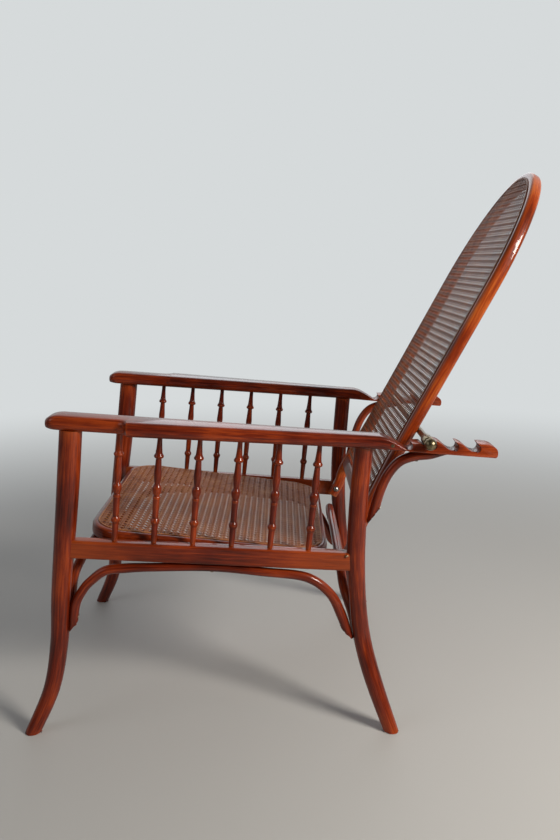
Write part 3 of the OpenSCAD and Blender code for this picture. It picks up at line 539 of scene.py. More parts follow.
class Graph:
    """Node graph of a material or of the world."""

    def __init__(self, owner: bpy.types.Material | bpy.types.World) -> None:
        """Opens the owner's graph.

        Args:
            owner: A material or a world.
        """
        owner.use_nodes = True
        self.owner = owner
        self.tree = owner.node_tree

    def add(self, kind: str, inputs: dict[str | int, object] | None = None,
            out: str | int = 0, stops: Sequence[tuple[float, str]] = (),
            **settings: object) -> bpy.types.NodeSocket:
        """Adds a node.

        Args:
            kind: The node's type, without its ShaderNode prefix.
            inputs: What each input gets: a socket to link, or a value.
            out: The output that is wanted.
            stops: Places and sRGB hex colours, for a colour ramp.
            settings: Properties of the node.

        Returns:
            The wanted output.
        """
        node = self.tree.nodes.new("ShaderNode" + kind)
        for key, value in settings.items():
            setattr(node, key, value)
        self.feed(node, inputs or {})
        if stops:
            elements = node.color_ramp.elements
            while len(elements) < len(stops):
                elements.new(0.5)
            for element, (place, colour) in zip(elements, stops):
                element.position, element.color = place, linear(colour)
        return node.outputs[out]

    def feed(self, node: bpy.types.Node | str, inputs: dict[str | int, object]) -> None:
        """Links or sets inputs of a node, or of the standing node of that name.

        Args:
            node: The node, or its name.
            inputs: What each input gets: a socket to link, or a value.
        """
        node = self.tree.nodes[node] if isinstance(node, str) else node
        for key, value in inputs.items():
            if isinstance(value, bpy.types.NodeSocket):
                self.tree.links.new(value, node.inputs[key])
            else:
                node.inputs[key].default_value = value

    def shade(self, **inputs: object) -> bpy.types.Material:
        """Feeds the main shader, inputs named with underscores, and gives the material."""
        self.feed("Principled BSDF", {k.replace("_", " "): v for k, v in inputs.items()})
        return self.owner


def blotches(graph: Graph, vector: bpy.types.NodeSocket, size_mm: tuple[float, float, float],
             detail: float = 3.0, rough: float = 0.55) -> bpy.types.NodeSocket:
    """Random pattern whose blotches have real sizes.

    Args:
        graph: The material's graph.
        vector: Coordinates in metres.
        size_mm: Size of a blotch along each axis, in millimetres.
        detail: Octaves of finer pattern.
        rough: Share of the finer pattern.

    Returns:
        The pattern's value.
    """
    scale = tuple(1.0 / (s * MM) for s in size_mm)
    mapped = graph.add("Mapping", {"Vector": vector, "Scale": scale})
    return graph.add("TexNoise", {"Vector": mapped, "Scale": 1.0, "Detail": detail,
                                  "Roughness": rough})


@dataclass(frozen=True)
class VarnishedBeech:
    """Beech stained red-brown and varnished by hand: deep gloss over streaked grain."""

    name: str = "varnished_beech"
    dark: str = "#3C0D04"
    middle: str = "#6C1F07"
    light: str = "#9A3A0F"
    # Colour of the arrises: wear, and a painted highlight where they catch the light
    worn: str = "#A84D1A"
    # Colour of the grooves and corners: old dust, and painted shade where the occlusion falls
    soil: str = "#220804"

    def build(self) -> bpy.types.Material:
        """Makes the material.

        Returns:
            The material.
        """
        g = Graph(bpy.data.materials.new(self.name))
        grain = g.add("Attribute", out="Vector", attribute_name=GRAIN)
        place = g.add("TexCoord", out="Object")
        # Beech shows fine even streaks a few centimetres long and rays like small flecks
        streaks = blotches(g, grain, (70, 3.2, 3.2), 5, 0.6)
        broad = blotches(g, place, (130, 130, 130), 2)
        flecks = blotches(g, grain, (3.4, 0.55, 0.55), 2)
        both = g.add("Math", {0: streaks, 1: broad}, operation="ADD")
        tone = g.add("Math", {0: both, 1: 0.5}, operation="MULTIPLY")
        colour = g.add("ValToRGB", {"Fac": tone}, stops=(
            (0.37, self.dark), (0.5, self.middle), (0.62, self.light)))
        # Flecks first, then paler arrises, worn by hands and sleeves and painted highlight where
        # they catch light; then darker grooves and corners: old polish, dust and painted shade
        edge = g.add("NewGeometry", out="Pointiness")
        for value, least, full, share, over in ((flecks, 0.58, 0.72, 0.42, self.dark),
                                                (edge, 0.515, 0.6, 0.55, self.worn),
                                                (edge, 0.492, 0.44, 0.75, self.soil)):
            amount = g.add("MapRange", {"Value": value, "From Min": least, "From Max": full,
                                        "To Min": 0.0, "To Max": share})
            colour = g.add("Mix", {"Factor": amount, 6: colour, 7: linear(over)}, out=2,
                           data_type="RGBA")
        rough = g.add("MapRange", {"Value": broad, "From Min": 0.3, "From Max": 0.7,
                                   "To Min": 0.34, "To Max": 0.46})
        bump = g.add("Bump", {"Height": streaks, "Strength": 0.12, "Distance": 0.0004})
        return g.shade(Base_Color=colour, Roughness=rough, Normal=bump, IOR=1.5,
                       Specular_IOR_Level=0.12, Coat_Weight=0.5, Coat_Roughness=0.07,
                       Coat_IOR=1.5)


@dataclass(frozen=True)
class PlainBeech:
    """Beech dowel as it came from the lathe: pale, dry and evenly grained."""

    name: str = "plain_beech"
    dark: str = "#A8784A"
    light: str = "#CFA373"

    def build(self) -> bpy.types.Material:
        """Makes the material.

        Returns:
            The material.
        """
        g = Graph(bpy.data.materials.new(self.name))
        streaks = blotches(g, g.add("TexCoord", out="Object"), (40, 1.2, 1.2), 4)
        colour = g.add("ValToRGB", {"Fac": streaks}, stops=((0.35, self.dark), (0.65, self.light)))
        return g.shade(Base_Color=colour, Roughness=0.6)


@dataclass(frozen=True)
class RattanCane:
    """Split rattan, woven by hand: a hard glossy skin, each strand a little different."""

    name: str
    dark: str
    middle: str
    light: str
    gloss: float = 0.5

    def build(self) -> bpy.types.Material:
        """Makes the material.

        Returns:
            The material.
        """
        g = Graph(bpy.data.materials.new(self.name))
        grain = g.add("Attribute", out="Vector", attribute_name=GRAIN)
        tint = g.add("Attribute", out="Fac", attribute_name=TINT)
        # The skin has lengthwise fibres about 0.3 mm apart, and stains in patches
        fibres = blotches(g, grain, (28, 0.35, 0.35), 2)
        tone = blotches(g, g.add("TexCoord", out="Object"), (60, 60, 60), 3)
        for value in (fibres, tint):
            tone = g.add("Math", {0: tone, 1: value}, operation="ADD")
        third = g.add("Math", {0: tone, 1: 1 / 3}, operation="MULTIPLY")
        colour = g.add("ValToRGB", {"Fac": third}, stops=(
            (0.3, self.dark), (0.5, self.middle), (0.7, self.light)))
        bump = g.add("Bump", {"Height": fibres, "Strength": 0.25, "Distance": 0.0002})
        return g.shade(Base_Color=colour, Roughness=self.gloss, Normal=bump, IOR=1.5,
                       Specular_IOR_Level=0.25)


@dataclass(frozen=True)
class AgedMetal:
    """Turned or drawn metal gone dull: bright where it is rubbed, dark in its film."""

    name: str
    bright: str
    dull: str
    film: str
    roughness: tuple[float, float] = (0.22, 0.45)

    def build(self) -> bpy.types.Material:
        """Makes the material.

        Returns:
            The material.
        """
        g = Graph(bpy.data.materials.new(self.name))
        place = g.add("TexCoord", out="Object")
        film = blotches(g, place, (9, 9, 9), 4, 0.6)
        fine = blotches(g, place, (0.8, 0.8, 0.8), 2)
        tone = g.add("Mix", {"Factor": 0.25, "A": film, "B": fine}, data_type="FLOAT")
        colour = g.add("ValToRGB", {"Fac": tone}, stops=(
            (0.36, self.film), (0.5, self.dull), (0.66, self.bright)))
        smooth, rough = self.roughness
        roughness = g.add("MapRange", {"Value": tone, "From Min": 0.35, "From Max": 0.65,
                                       "To Min": rough, "To Max": smooth})
        bump = g.add("Bump", {"Height": fine, "Strength": 0.06, "Distance": 0.0002})
        return g.shade(Base_Color=colour, Metallic=1.0, Roughness=roughness, Normal=bump)


@dataclass(frozen=True)
class PaleFloor:
    """Plain pale floor, which only carries the shadow."""

    name: str = "pale_floor"
    colour: str = "#BEBCB8"
    backdrop: str = "#D6DADB"
    near: float = 0.9
    far: float = 3.4

    def build(self) -> bpy.types.Material:
        """Makes the material: away from the chair it fades into the backdrop.

        Returns:
            The material.
        """
        g = Graph(bpy.data.materials.new(self.name))
        distance = g.add("VectorMath", {0: g.add("TexCoord", out="Object")}, out="Value",
                         operation="LENGTH")
        fade = g.add("MapRange", {"Value": distance, "From Min": self.near,
                                  "From Max": self.far}, interpolation_type="SMOOTHSTEP")
        seen = g.add("LightPath", out="Is Camera Ray")
        share = g.add("Math", {0: fade, 1: seen}, operation="MULTIPLY")
        glow = g.add("Emission", {"Color": linear(self.backdrop), "Strength": 1.0})
        plain = g.tree.nodes["Principled BSDF"].outputs[0]
        g.feed("Material Output", {"Surface": g.add("MixShader", {0: share, 1: plain, 2: glow})})
        return g.shade(Base_Color=linear(self.colour), Roughness=0.6, Specular_IOR_Level=0.25)


@dataclass
class Finishes:
    """All finishes of the chair, made once."""

    beech: bpy.types.Material = field(default_factory=lambda: VarnishedBeech().build())
    # A lighter, more orange copy of the beech for the hoop: painted light on its top and outer face
    hoop: bpy.types.Material = field(default_factory=lambda: VarnishedBeech(
        "honey_varnished_beech", "#5A1A06", "#8E330C", "#B95A1D", "#D07C38").build())
    dowel: bpy.types.Material = field(default_factory=lambda: PlainBeech().build())
    seat_cane: bpy.types.Material = field(default_factory=lambda: RattanCane(
        "golden_rattan", "#683318", "#9A5830", "#BE8450").build())
    back_cane: bpy.types.Material = field(default_factory=lambda: RattanCane(
        "browned_rattan", "#44200F", "#80421F", "#AE6C40").build())
    brass: bpy.types.Material = field(default_factory=lambda: AgedMetal(
        "aged_brass", "#B8A582", "#82755A", "#483F2E").build())
    screw_brass: bpy.types.Material = field(default_factory=lambda: AgedMetal(
        "screw_brass", "#CDBFA2", "#96876C", "#4E4534", (0.22, 0.4)).build())
    steel: bpy.types.Material = field(default_factory=lambda: AgedMetal(
        "worn_steel", "#C0C0BC", "#8E8E8A", "#5C5A56").build())


def show(thing: bpy.types.Object, material: bpy.types.Material, body: Body, slot: str,
         *nodes: str) -> None:
    """Dresses a piece, sets it on its body and lets it stand for its nodes.

    Args:
        thing: The piece.
        material: Its finish.
        body: Body that it rides on.
        slot: The record's slot for its finish; not used.
        nodes: CAD nodes that it replaces.
    """
    thing.data.materials.append(material)
    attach(thing, body.value)
    if nodes:
        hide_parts(*nodes)
    LOG.info("%s: %d faces on %s", thing.name, len(thing.data.polygons), body.value)


def show_both(piece: Workpiece, name: str, node: str, material: bpy.types.Material,
              body: Body = Body.FRAME, slot: str = BEECH_SLOT,
              crease: float = CRISP_FROM) -> None:
    """Shows a piece on the left and its mirror image on the right.

    Args:
        piece: The left one.
        name: Name of the piece, after the side's word.
        node: CAD node that it replaces, with {} for the side's word.
        material: Its finish.
        body: Body that it rides on.
        slot: The record's slot for its finish; not used.
        crease: Angle in degrees beyond which an edge stays crisp.
    """
    for side in Side:
        show(piece.mesh(f"{side.word}_{name}", side, crease), material, body, slot,
             node.format(side.word))


@dataclass(frozen=True)
class Lines:
    """Main lines of the chair, in millimetres."""

    leg_base: float = 668.0
    front_foot: float = 299.0
    rear_foot: float = 292.0
    frame_half: float = 258.0
    half_at: tuple[float, float] = (319.0, 360.0)
    lean_angle: float = math.radians(3.15)
    lean: float = math.tan(lean_angle)
    taper: float = math.tan(math.radians(2.0))
    arm_z: float = 573.0
    arm_leg_y: float = 92.0
    arm_fall: float = math.tan(math.radians(3.75))
    arm_tip_y: float = 48.5
    arm_thickness: float = 27.0
    arm_thins: float = 3.0
    arm_run: float = 600.0
    rail_depth: float = 35.0
    rail_width: float = 24.0
    rail_front: tuple[float, float] = (70.0, 351.0)
    rail_rear: tuple[float, float] = (600.0, 318.0)
    arch_r: float = 9.0
    pivot: tuple[float, float] = (593.085, 327.0)
    bar: tuple[float, float] = (722.359, 550.0)
    back_lean: float = math.radians(27.9)

    def side_x(self, y: float, z: float) -> float:
        """Half-width of the plane of a side frame."""
        y0, z0 = self.half_at
        return self.frame_half + self.lean * (z - z0) - self.taper * (y - y0)

    def rail_z(self, y: float) -> float:
        """Height of the middle of a side rail."""
        (y1, z1), (y2, z2) = self.rail_front, self.rail_rear
        return mix(z1, z2, (y - y1) / (y2 - y1))

    def rail_under(self, y: float) -> float:
        """Height of the underside of a side rail."""
        return self.rail_z(y) - self.rail_depth / 2

    @property
    def rear_leg_y(self) -> float:
        """Where a rear leg's head meets its arm."""
        return self.leg_base - 58

    def arm_under(self, y: float) -> float:
        """Height of the underside of an arm."""
        return self.arm_z - self.arm_fall * (y - self.arm_leg_y)

    def arm_thick(self, y: float) -> float:
        """Thickness of an arm."""
        return self.arm_thickness - self.arm_thins * (y - self.arm_tip_y) / self.arm_run

    def under_rail(self, y: float, gap: float, r: float) -> Guide:
        """Guide point of an arch that hangs below the rail."""
        z = self.rail_under(y) - r
        return Guide(self.side_x(y, z), y, z - gap, r)

    def on_back(self, x: float, s: float, n: float) -> Vector:
        """Point of the back: s up along it from the pivots, n behind its plane.

        Args:
            x: Distance from the middle plane, in millimetres.
            s: Distance up the back, in millimetres.
            n: Distance behind its plane, in millimetres.

        Returns:
            The point, in metres.
        """
        y, z = self.pivot
        c, i = math.cos(self.back_lean), math.sin(self.back_lean)
        return room(x, y + s * i + n * c, z + s * c - n * i)


LINES = Lines()


def slanted(degrees: float) -> Vector:
    """Waste side of a cut that climbs rearwards at an angle."""
    a = math.radians(degrees)
    return Vector((0, math.sin(a), -math.cos(a)))


@dataclass
class Legs:
    """Front and rear legs: beech sticks bent outwards below the rails."""

    front_r: float = 20.0
    rear_r: float = 17.0
    foot_r: float = 13.5
    let_in: float = 12.0
    sawn_off: float = 14.0
    guides: dict[str, list[Guide]] = field(init=False)

    def __post_init__(self) -> None:
        """Lays out the guide points, from above the arm to below the floor."""
        s, base = LINES.side_x, LINES.leg_base
        ff, rf = LINES.front_foot, LINES.rear_foot
        top = LINES.arm_z + self.let_in
        rear_top = LINES.arm_under(LINES.rear_leg_y) + self.let_in
        self.guides = {
            "front_leg": [
                Guide(s(93, top), 93, top, self.front_r),
                Guide(s(77, 442), 77, 442, self.front_r),
                Guide(s(54, 260), 54, 260, self.front_r - 2.3),
                Guide(mix(s(47, 170), ff, 0.2), 47, 165, self.front_r - 3.4),
                Guide(mix(s(33, 80), ff, 0.65), 33, 80, self.foot_r + 1.6),
                Guide(ff, -2, 0, self.foot_r),
                Guide(ff + 3, -8, -self.sawn_off, self.foot_r),
            ],
            "rear_leg": [
                Guide(s(base - 57, rear_top), base - 57, rear_top, self.rear_r),
                Guide(s(base - 65, 437), base - 65, 437, self.rear_r),
                Guide(s(base - 67.5, 330), base - 67.5, 330, self.rear_r + 0.3),
                Guide(mix(s(base - 62, 235), rf, 0.04), base - 62, 235, self.rear_r - 1),
                Guide(mix(s(base - 52, 160), rf, 0.24), base - 52, 160, self.rear_r - 0.8),
                Guide(mix(s(base - 32, 88), rf, 0.62), base - 32, 88, self.rear_r - 1.2),
                Guide(rf, base, 0, self.foot_r),
                Guide(rf + 5, base + 5, -self.sawn_off, self.foot_r),
            ],
        }

    def build(self, finishes: Finishes) -> None:
        """Bends the four legs and saws their ends.

        Args:
            finishes: The chair's finishes.
        """
        for node, guides in self.guides.items():
            piece = bent_stick(guides, Vector((0, 1, 0)), steps=9, sides=32)
            piece.cut(Vector((0, 0, 0)), Vector((0, 0, -1)), arris=1.4 * MM)
            slope = Vector((0, LINES.arm_fall, 1)).normalized()
            piece.cut(room(0, LINES.arm_leg_y, LINES.arm_z), slope)
            show_both(piece, node, node + "_{}", finishes.beech)

    def at(self, node: str, z: float) -> Guide:
        """Point of a leg's centre line at a height.

        Args:
            node: The leg.
            z: The height, in millimetres.

        Returns:
            The point, with the leg's radius there.
        """
        line = [Guide(*p) for p in smooth_curve(self.guides[node], 4)]
        for a, b in zip(line, line[1:]):
            if a.z >= z > b.z:
                t = (a.z - z) / (a.z - b.z)
                return Guide(*(mix(p, q, t) for p, q in zip(a, b)))
        return line[-1]

    def rail_ends(self) -> tuple[Guide, Guide]:
        """Points of the front and the rear leg where the side rail meets them."""
        return self.at("front_leg", LINES.rail_front[1]), self.at("rear_leg", LINES.rail_rear[1])


@dataclass
class SideRails:
    """Rails between the legs, with softened arrises."""

    legs: Legs
    arris: float = 4.0
    let_in: float = 0.012

    def build(self, finishes: Finishes) -> None:
        """Saws the two rails, their ends let into the legs.

        Args:
            finishes: The chair's finishes.
        """
        start, end = (room(*p[:3]) for p in self.legs.rail_ends())
        up = Vector((math.sin(LINES.lean_angle), 0, math.cos(LINES.lean_angle)))
        shares = (self.let_in, 0.25, 0.5, 0.75, 1 - self.let_in)
        frames = frames_along([start.lerp(end, t) for t in shares], up)
        piece = board([Section(f, LINES.rail_width * MM, LINES.rail_depth * MM, self.arris * MM)
                       for f in frames])
        show_both(piece, "side_rail", "side_rail_{}", finishes.beech)


@dataclass
class Spindles:
    """Six turned spindles in each side, raked rearwards."""

    legs: Legs
    count: int = 6
    first: float = 92.2
    last: float = 89.0
    rake: float = math.tan(math.radians(5.5))
    let_in: float = 1.2
    profile: tuple[tuple[float, float], ...] = (
        (0, 4.8), (0.08, 5.4), (0.15, 5.7), (0.174, 5.8), (0.178, 6.4), (0.19, 7.6),
        (0.207, 8.6), (0.222, 7.6), (0.234, 6.2), (0.238, 5.7), (0.25, 5.7), (0.373, 6.1),
        (0.412, 6.2), (0.416, 6.7), (0.434, 6.7), (0.438, 5.8), (0.45, 5.8), (0.468, 7.3),
        (0.487, 8.2), (0.504, 8.5), (0.521, 8.0), (0.534, 6.9), (0.546, 5.4), (0.556, 5.3),
        (0.569, 5.7), (0.624, 6.9), (0.66, 6.8), (0.698, 6.1), (0.77, 5.2), (0.783, 5.2),
        (0.789, 7.4), (0.793, 8.3), (0.804, 9.0), (0.814, 8.2), (0.824, 7.0), (0.836, 6.1),
        (0.881, 5.2), (0.949, 4.4), (1, 4.4),
    )

    def ends(self, i: int) -> tuple[Vector, Vector]:
        """Foot and head of spindle i, counted from 1.

        Args:
            i: Number of the spindle.

        Returns:
            The two points, in metres.
        """
        front, rear = self.legs.rail_ends()
        y = mix(front.y + self.first, rear.y - self.last, (i - 1) / (self.count - 1))
        z = LINES.rail_z(y) + LINES.rail_depth / 2
        rise = (LINES.arm_under(y) - z) / (1 + self.rake * LINES.arm_fall)
        top_y, top_z = y + rise * self.rake, z + rise
        return (room(LINES.side_x(y, z), y, z),
                room(LINES.side_x(top_y, top_z), top_y, top_z))

    def build(self, finishes: Finishes) -> None:
        """Turns each spindle and sets it between its rail and its arm.

        Args:
            finishes: The chair's finishes.
        """
        for i in range(1, self.count + 1):
            foot, head = self.ends(i)
            way = (head - foot).normalized() * self.let_in * MM
            foot, head = foot - way, head + way
            length = (head - foot).length
            outline = [(t * length, r * MM) for t, r in smooth_curve(self.profile, 2)]
            piece = Workpiece()
            piece.turn([(0.0, 0.0), *outline, (length, 0.0)], 32, foot, head)
            show_both(piece, f"spindle_{i}", f"spindle_{{}}_{i}", finishes.beech, crease=50)


@dataclass
class Racks:
    """Notched racks lapped to the arms' tails, and the bent braces under them."""

    legs: Legs
    pitch: float = 39.0
    fall: float = math.tan(math.radians(4.2))
    width: float = 40.0
    seat_r: float = 9.8
    brace_r: float = 9.0
    brace_foot_z: float = 394.0
    arris: float = 1.3
    rest_gap: float = 0.3
    lap_share: float = 0.58
    hook: float = math.radians(17.7)
    nose: float = 36.0
    inner: float = field(init=False)
    lap: float = field(init=False)
    start: float = field(init=False)
    end: float = field(init=False)
    arm_tail: float = field(init=False)

    def __post_init__(self) -> None:
        """Works out the rack's ends from the bar's place."""
        y = LINES.rear_leg_y
        leg_x = LINES.side_x(y, LINES.arm_under(y) + self.legs.let_in)
        self.inner = leg_x - self.legs.rear_r - 0.5
        self.lap = self.inner + self.lap_share * self.width
        self.start = self.tip(0)[0] - 39
        self.end = self.tip(3)[0] + 35
        self.arm_tail = self.tip(0)[0] - 6.5

    def tip(self, k: int) -> tuple[float, float]:
        """Tip of tooth k, as distance back and height; the bar lies ahead of tooth 1.

        Args:
            k: Number of the tooth, 0 to 3.

        Returns:
            The tip.
        """
        y, z = LINES.bar
        step = (k - 1) * self.pitch
        return (y + self.seat_r * math.cos(self.hook) + step,
                z + self.seat_r * math.sin(self.hook) - step * self.fall)

    def notch(self, k: int) -> list[tuple[float, float]]:
        """Outline of one notch up to its tooth: slope, pocket and hooked wall.

        Args:
            k: Number of the tooth, 1 to 3.

        Returns:
            Distances back and heights.
        """
        y, z = self.tip(k)
        arc = [math.radians(a) for a in range(250, 383, 11)]
        pocket = [(7.5 * math.cos(a) - 2.6, 7.5 * math.sin(a) - 8.5) for a in arc]
        ramp = [(-33.5, 2.0), (-28, -0.6)] if k > 1 else []
        steps = [*ramp, (-22.7, -4.6), (-18.2, -8.6), (-13.7, -12.1), (-9.4, -14.6), *pocket,
                 (3.2, -4.6), (1.8, -2.2), (0, 0)]
        return [(y + a, z + b) for a, b in steps]

    def first_pocket(self) -> list[tuple[float, float]]:
        """Outline of the first notch from its bottom to its low tooth.

        Returns:
            Distances back and heights.
        """
        y, z = self.tip(0)
        steps = [(-10.4, -17.8), (-7.8, -18.7), (-5.4, -18.9), (-3.2, -18.5), (-1.2, -17.4),
                 (0.6, -15.7), (1.6, -13.9), (2.1, -12.0), (1.6, -9.7), (0, -7.6)]
        return [(y + a, z + b) for a, b in steps]

    def under(self, y: float) -> float:
        """Height of the rack's underside."""
        base = self.start + self.nose
        return LINES.arm_under(base) - self.fall * (y - base) - 0.4

    def shoulder(self, back: float, share: float) -> tuple[float, float]:
        """Point of the arm's sloping rear end, behind the rack's front, by share of thickness."""
        y = self.start + back
        return y, LINES.arm_under(y) + LINES.arm_thick(y) * share

    def long_slope(self) -> list[tuple[float, float]]:
        """Straight part of the slope from the arm's top down to the first notch."""
        return [self.shoulder(*p) for p in ((0, 0.8), (6.6, 0.672), (14.6, 0.49), (22.6, 0.295))]

    def outline(self) -> list[tuple[float, float]]:
        """Whole outline of the rack, as distances back and heights.

        Returns:
            The outline, closed by its ends.
        """
        b, (y, z) = self.end, self.tip(3)
        front = self.start + self.nose
        heel = [(y + 10, z - 0.3), (y + 19, z - 1.4), (b - 9, z - 3.9), (b - 4, z - 7),
                (b - 1.2, z - 10.5), (b, z - 14.5)]
        foot = [(b - d, self.under(b) + h) for d, h in ((0, 5), (1, 2), (3.4, 0))]
        return [self.shoulder(0, 0.02), *self.long_slope(), *self.first_pocket(),
                *self.notch(1), *self.notch(2), *self.notch(3), *heel, *foot,
                (front, self.under(front))]

    def build(self, finishes: Finishes) -> None:
        """Saws the racks and bends the braces."""
        show_both(self.rack(), "rack", "rack_{}", finishes.beech)
        show_both(self.brace(), "rack_brace", "rack_brace_{}", finishes.beech)

    def rack(self) -> Workpiece:
        """Saws a rack to its outline, thin beside the arm's tail and whole behind it.

        Returns:
            The left rack.
        """
        piece = Workpiece()
        bm = piece.bm
        face = bm.faces.new([bm.verts.new(room(self.inner, y, z)) for y, z in self.outline()])
        end = piece.pushed([face], Vector(((self.lap - self.inner) * MM, 0, 0)))
        tail = room(0, self.arm_tail + self.rest_gap, 0)
        bmesh.ops.bisect_plane(bm, geom=[*end, *end[0].edges, *end[0].verts], dist=SAME_PLACE,
                               plane_co=tail, plane_no=(0, 1, 0))
        level = self.lap * MM
        outer = [f for f in bm.faces if all(abs(v.co.x - level) < 1e-6 for v in f.verts)
                 and f.calc_center_median().y > tail.y]
        piece.pushed(outer, Vector(((self.inner + self.width - self.lap) * MM, 0, 0)))
        bmesh.ops.recalc_face_normals(bm, faces=bm.faces)
        piece.soften(self.arris * MM, 32)
        piece.lay_grain(Vector((0, 1, 0)), Vector((1, 0, 0)), Vector((0, 0, 1)))
        return piece

    def brace(self) -> Workpiece:
        """Bends a brace and saws it flat against the rack and slanted at its foot.

        Returns:
            The left brace.
        """
        piece = bent_stick(self.brace_guides(), Vector((1, 0, 0)))
        base = self.start + self.nose
        piece.cut(room(0, base, self.under(base) - 0.05), Vector((0, self.fall, 1)).normalized())
        foot = self.legs.at("rear_leg", self.brace_foot_z)
        heel = room(foot.x, foot.y + foot.r + 1.5, self.brace_foot_z)
        piece.cut(heel, slanted(54), SAWN_ARRIS, 45 * MM, 3)
        return piece

    def brace_guides(self) -> list[Guide]:
        """Guide points of a brace, from the rear leg out and up to the rack.

        Returns:
            The guide points.
        """
        r, foot_z = self.brace_r, self.brace_foot_z
        foot = self.legs.at("rear_leg", foot_z)
        middle = self.inner + self.width / 2
        start_y = foot.y + foot.r + r - 1.5
        # Distance behind the rear foot, shares of the rise and of the side step, radius
        bends = ((-26.5, 0.43, 0.35, 1), (-13.5, 0.656, 0.7, 1), (6, 0.832, 0.95, 1),
                 (32, 0.918, 1, 1), (60, 0.953, 1, 0.95), (80, 0.977, 1, 0.55),
                 (96, 0.997, 1, 0.22))
        guides = [Guide(foot.x, start_y, foot_z, r * 0.85),
                  Guide(foot.x, start_y + 6, foot_z + 24, r)]
        for back, rise, side, full in bends:
            y = LINES.leg_base + back
            guides.append(Guide(mix(foot.x, middle, side), y, mix(foot_z, self.under(y), rise),
                                r * full))
        return guides


@dataclass
class Arms:
    """Arms: boards with a rounded tip, a cove in the outer edge and a notched tail."""

    racks: Racks
    cove: float = 20.0
    cove_r: float = 22.0
    cove_end: float = 104.0
    overhang: float = 43.0
    narrows: float = 0.079
    round_r: float = 9.5
    tail_r: float = 2.5
    tip_y: float = LINES.arm_tip_y

    @property
    def corner_y(self) -> float:
        """Where the cove ends and the arm reaches its full width."""
        return LINES.arm_leg_y + self.cove_end

    def outer(self, y: float) -> float:
        """Outer edge of the arm.

        Args:
            y: Distance back, in millimetres.

        Returns:
            Its distance from the middle.
        """
        behind = y - self.corner_y
        full = LINES.side_x(self.corner_y, LINES.arm_z) + self.overhang
        if behind >= 0:
            return full - self.narrows * behind
        t = max(0.0, (behind + self.cove_r) / self.cove_r)
        return full - self.cove * math.sqrt(1 - t * t)

    def inner(self, y: float) -> float:
        """Inner edge of the arm.

        Args:
            y: Distance back, in millimetres.

        Returns:
            Its distance from the middle.
        """
        c = self.corner_y
        inset = ((LINES.arm_leg_y, 33.5), (c, 30.5), (c + 60, 29), (c + 250, 24))
        rows = [(at, LINES.side_x(at, LINES.arm_z) - d) for at, d in inset]
        return look_up(y, [*rows, (LINES.leg_base - 75, self.racks.inner)])

    def top_cut(self, y: float) -> float:
        """Height of the top where the long slope to the first notch cuts it.

        Args:
            y: Distance back, in millimetres.

        Returns:
            The height.
        """
        shoulder, tail = self.racks.shoulder, self.racks.arm_tail - self.racks.start
        crest = [shoulder(*p) for p in ((-21, 1.03), (-16, 0.995), (-11.4, 0.96), (-5.4, 0.893))]
        return look_up(y, [*crest, *self.racks.long_slope(), shoulder(tail, 0.06)])

    def nose(self, y: float, lead: float, length: float) -> float:
        """Share of the full size that the rounded tip takes away at a distance back."""
        d = y - self.tip_y + lead
        return 0.0 if d >= length else 1 - math.sqrt(max(0.0, 1 - (1 - d / length) ** 2))

    def section(self, y: float, x_shift: float = 0.0) -> Section:
        """Cross-section of the arm at a distance back.

        Args:
            y: Distance back, in millimetres.
            x_shift: How much farther out the inner edge lies.

        Returns:
            The cross-section.
        """
        narrow, low = self.nose(y, 0.6, 19), self.nose(y, 2.2, 30)
        under = LINES.arm_under(y)
        top = under + LINES.arm_thick(y)
        start, radius = self.racks.start, self.round_r
        if y > start - 45:
            radius = mix(radius, self.tail_r, min(1, (y - start + 45) / 60))
        if y > start - 21:
            top = min(top, self.top_cut(y))
        x1, x2 = self.inner(y) + x_shift + narrow * 16, self.outer(y) - narrow * 16
        z1, z2 = under + low * 3.5, top - low * 18
        frame = Matrix(((-1, 0, 0, 0), (0, 0, 1, 0), (0, 1, 0, 0), (0, 0, 0, 1)))
        frame.translation = room((x1 + x2) / 2, y, (z1 + z2) / 2)
        return Section(frame, (x2 - x1) * MM, (z2 - z1) * MM, radius * MM)

    def build(self, finishes: Finishes) -> None:
        """Shapes the two arms, with more sections where their outline turns.

        Args:
            finishes: The chair's finishes.
        """
        start, tail = self.racks.start, self.racks.arm_tail
        ys = [self.tip_y + d
              for d in (0, 0.6, 1.5, 3, 5, 7.5, 10.5, 14, 18, 22, 27, 36, 50, 75, 95)]
        ys += [self.corner_y + d for d in (-26, -22.5, -21.5, -19, -16, -13, -10, -7.5, -5, -3,
                                           -1.6, -0.7, 0, 1.5, 4, 12, 30)]
        ys += [mix(self.corner_y + 60, start - 45, k / 9) for k in range(10)]
        ys += [start - d for d in (36, 28, 22, 19, 16, 13.5, 11.4, 8.5, 5.4, 2.7, 0)]
        lap_step = self.racks.lap - self.racks.inner
        sections = [self.section(y) for y in ys]
        sections += [self.section(mix(start + 0.05, tail, k / 10), lap_step) for k in range(11)]
        show_both(board(sections, corner_steps=5), "arm", "arm_{}", finishes.beech, crease=46)


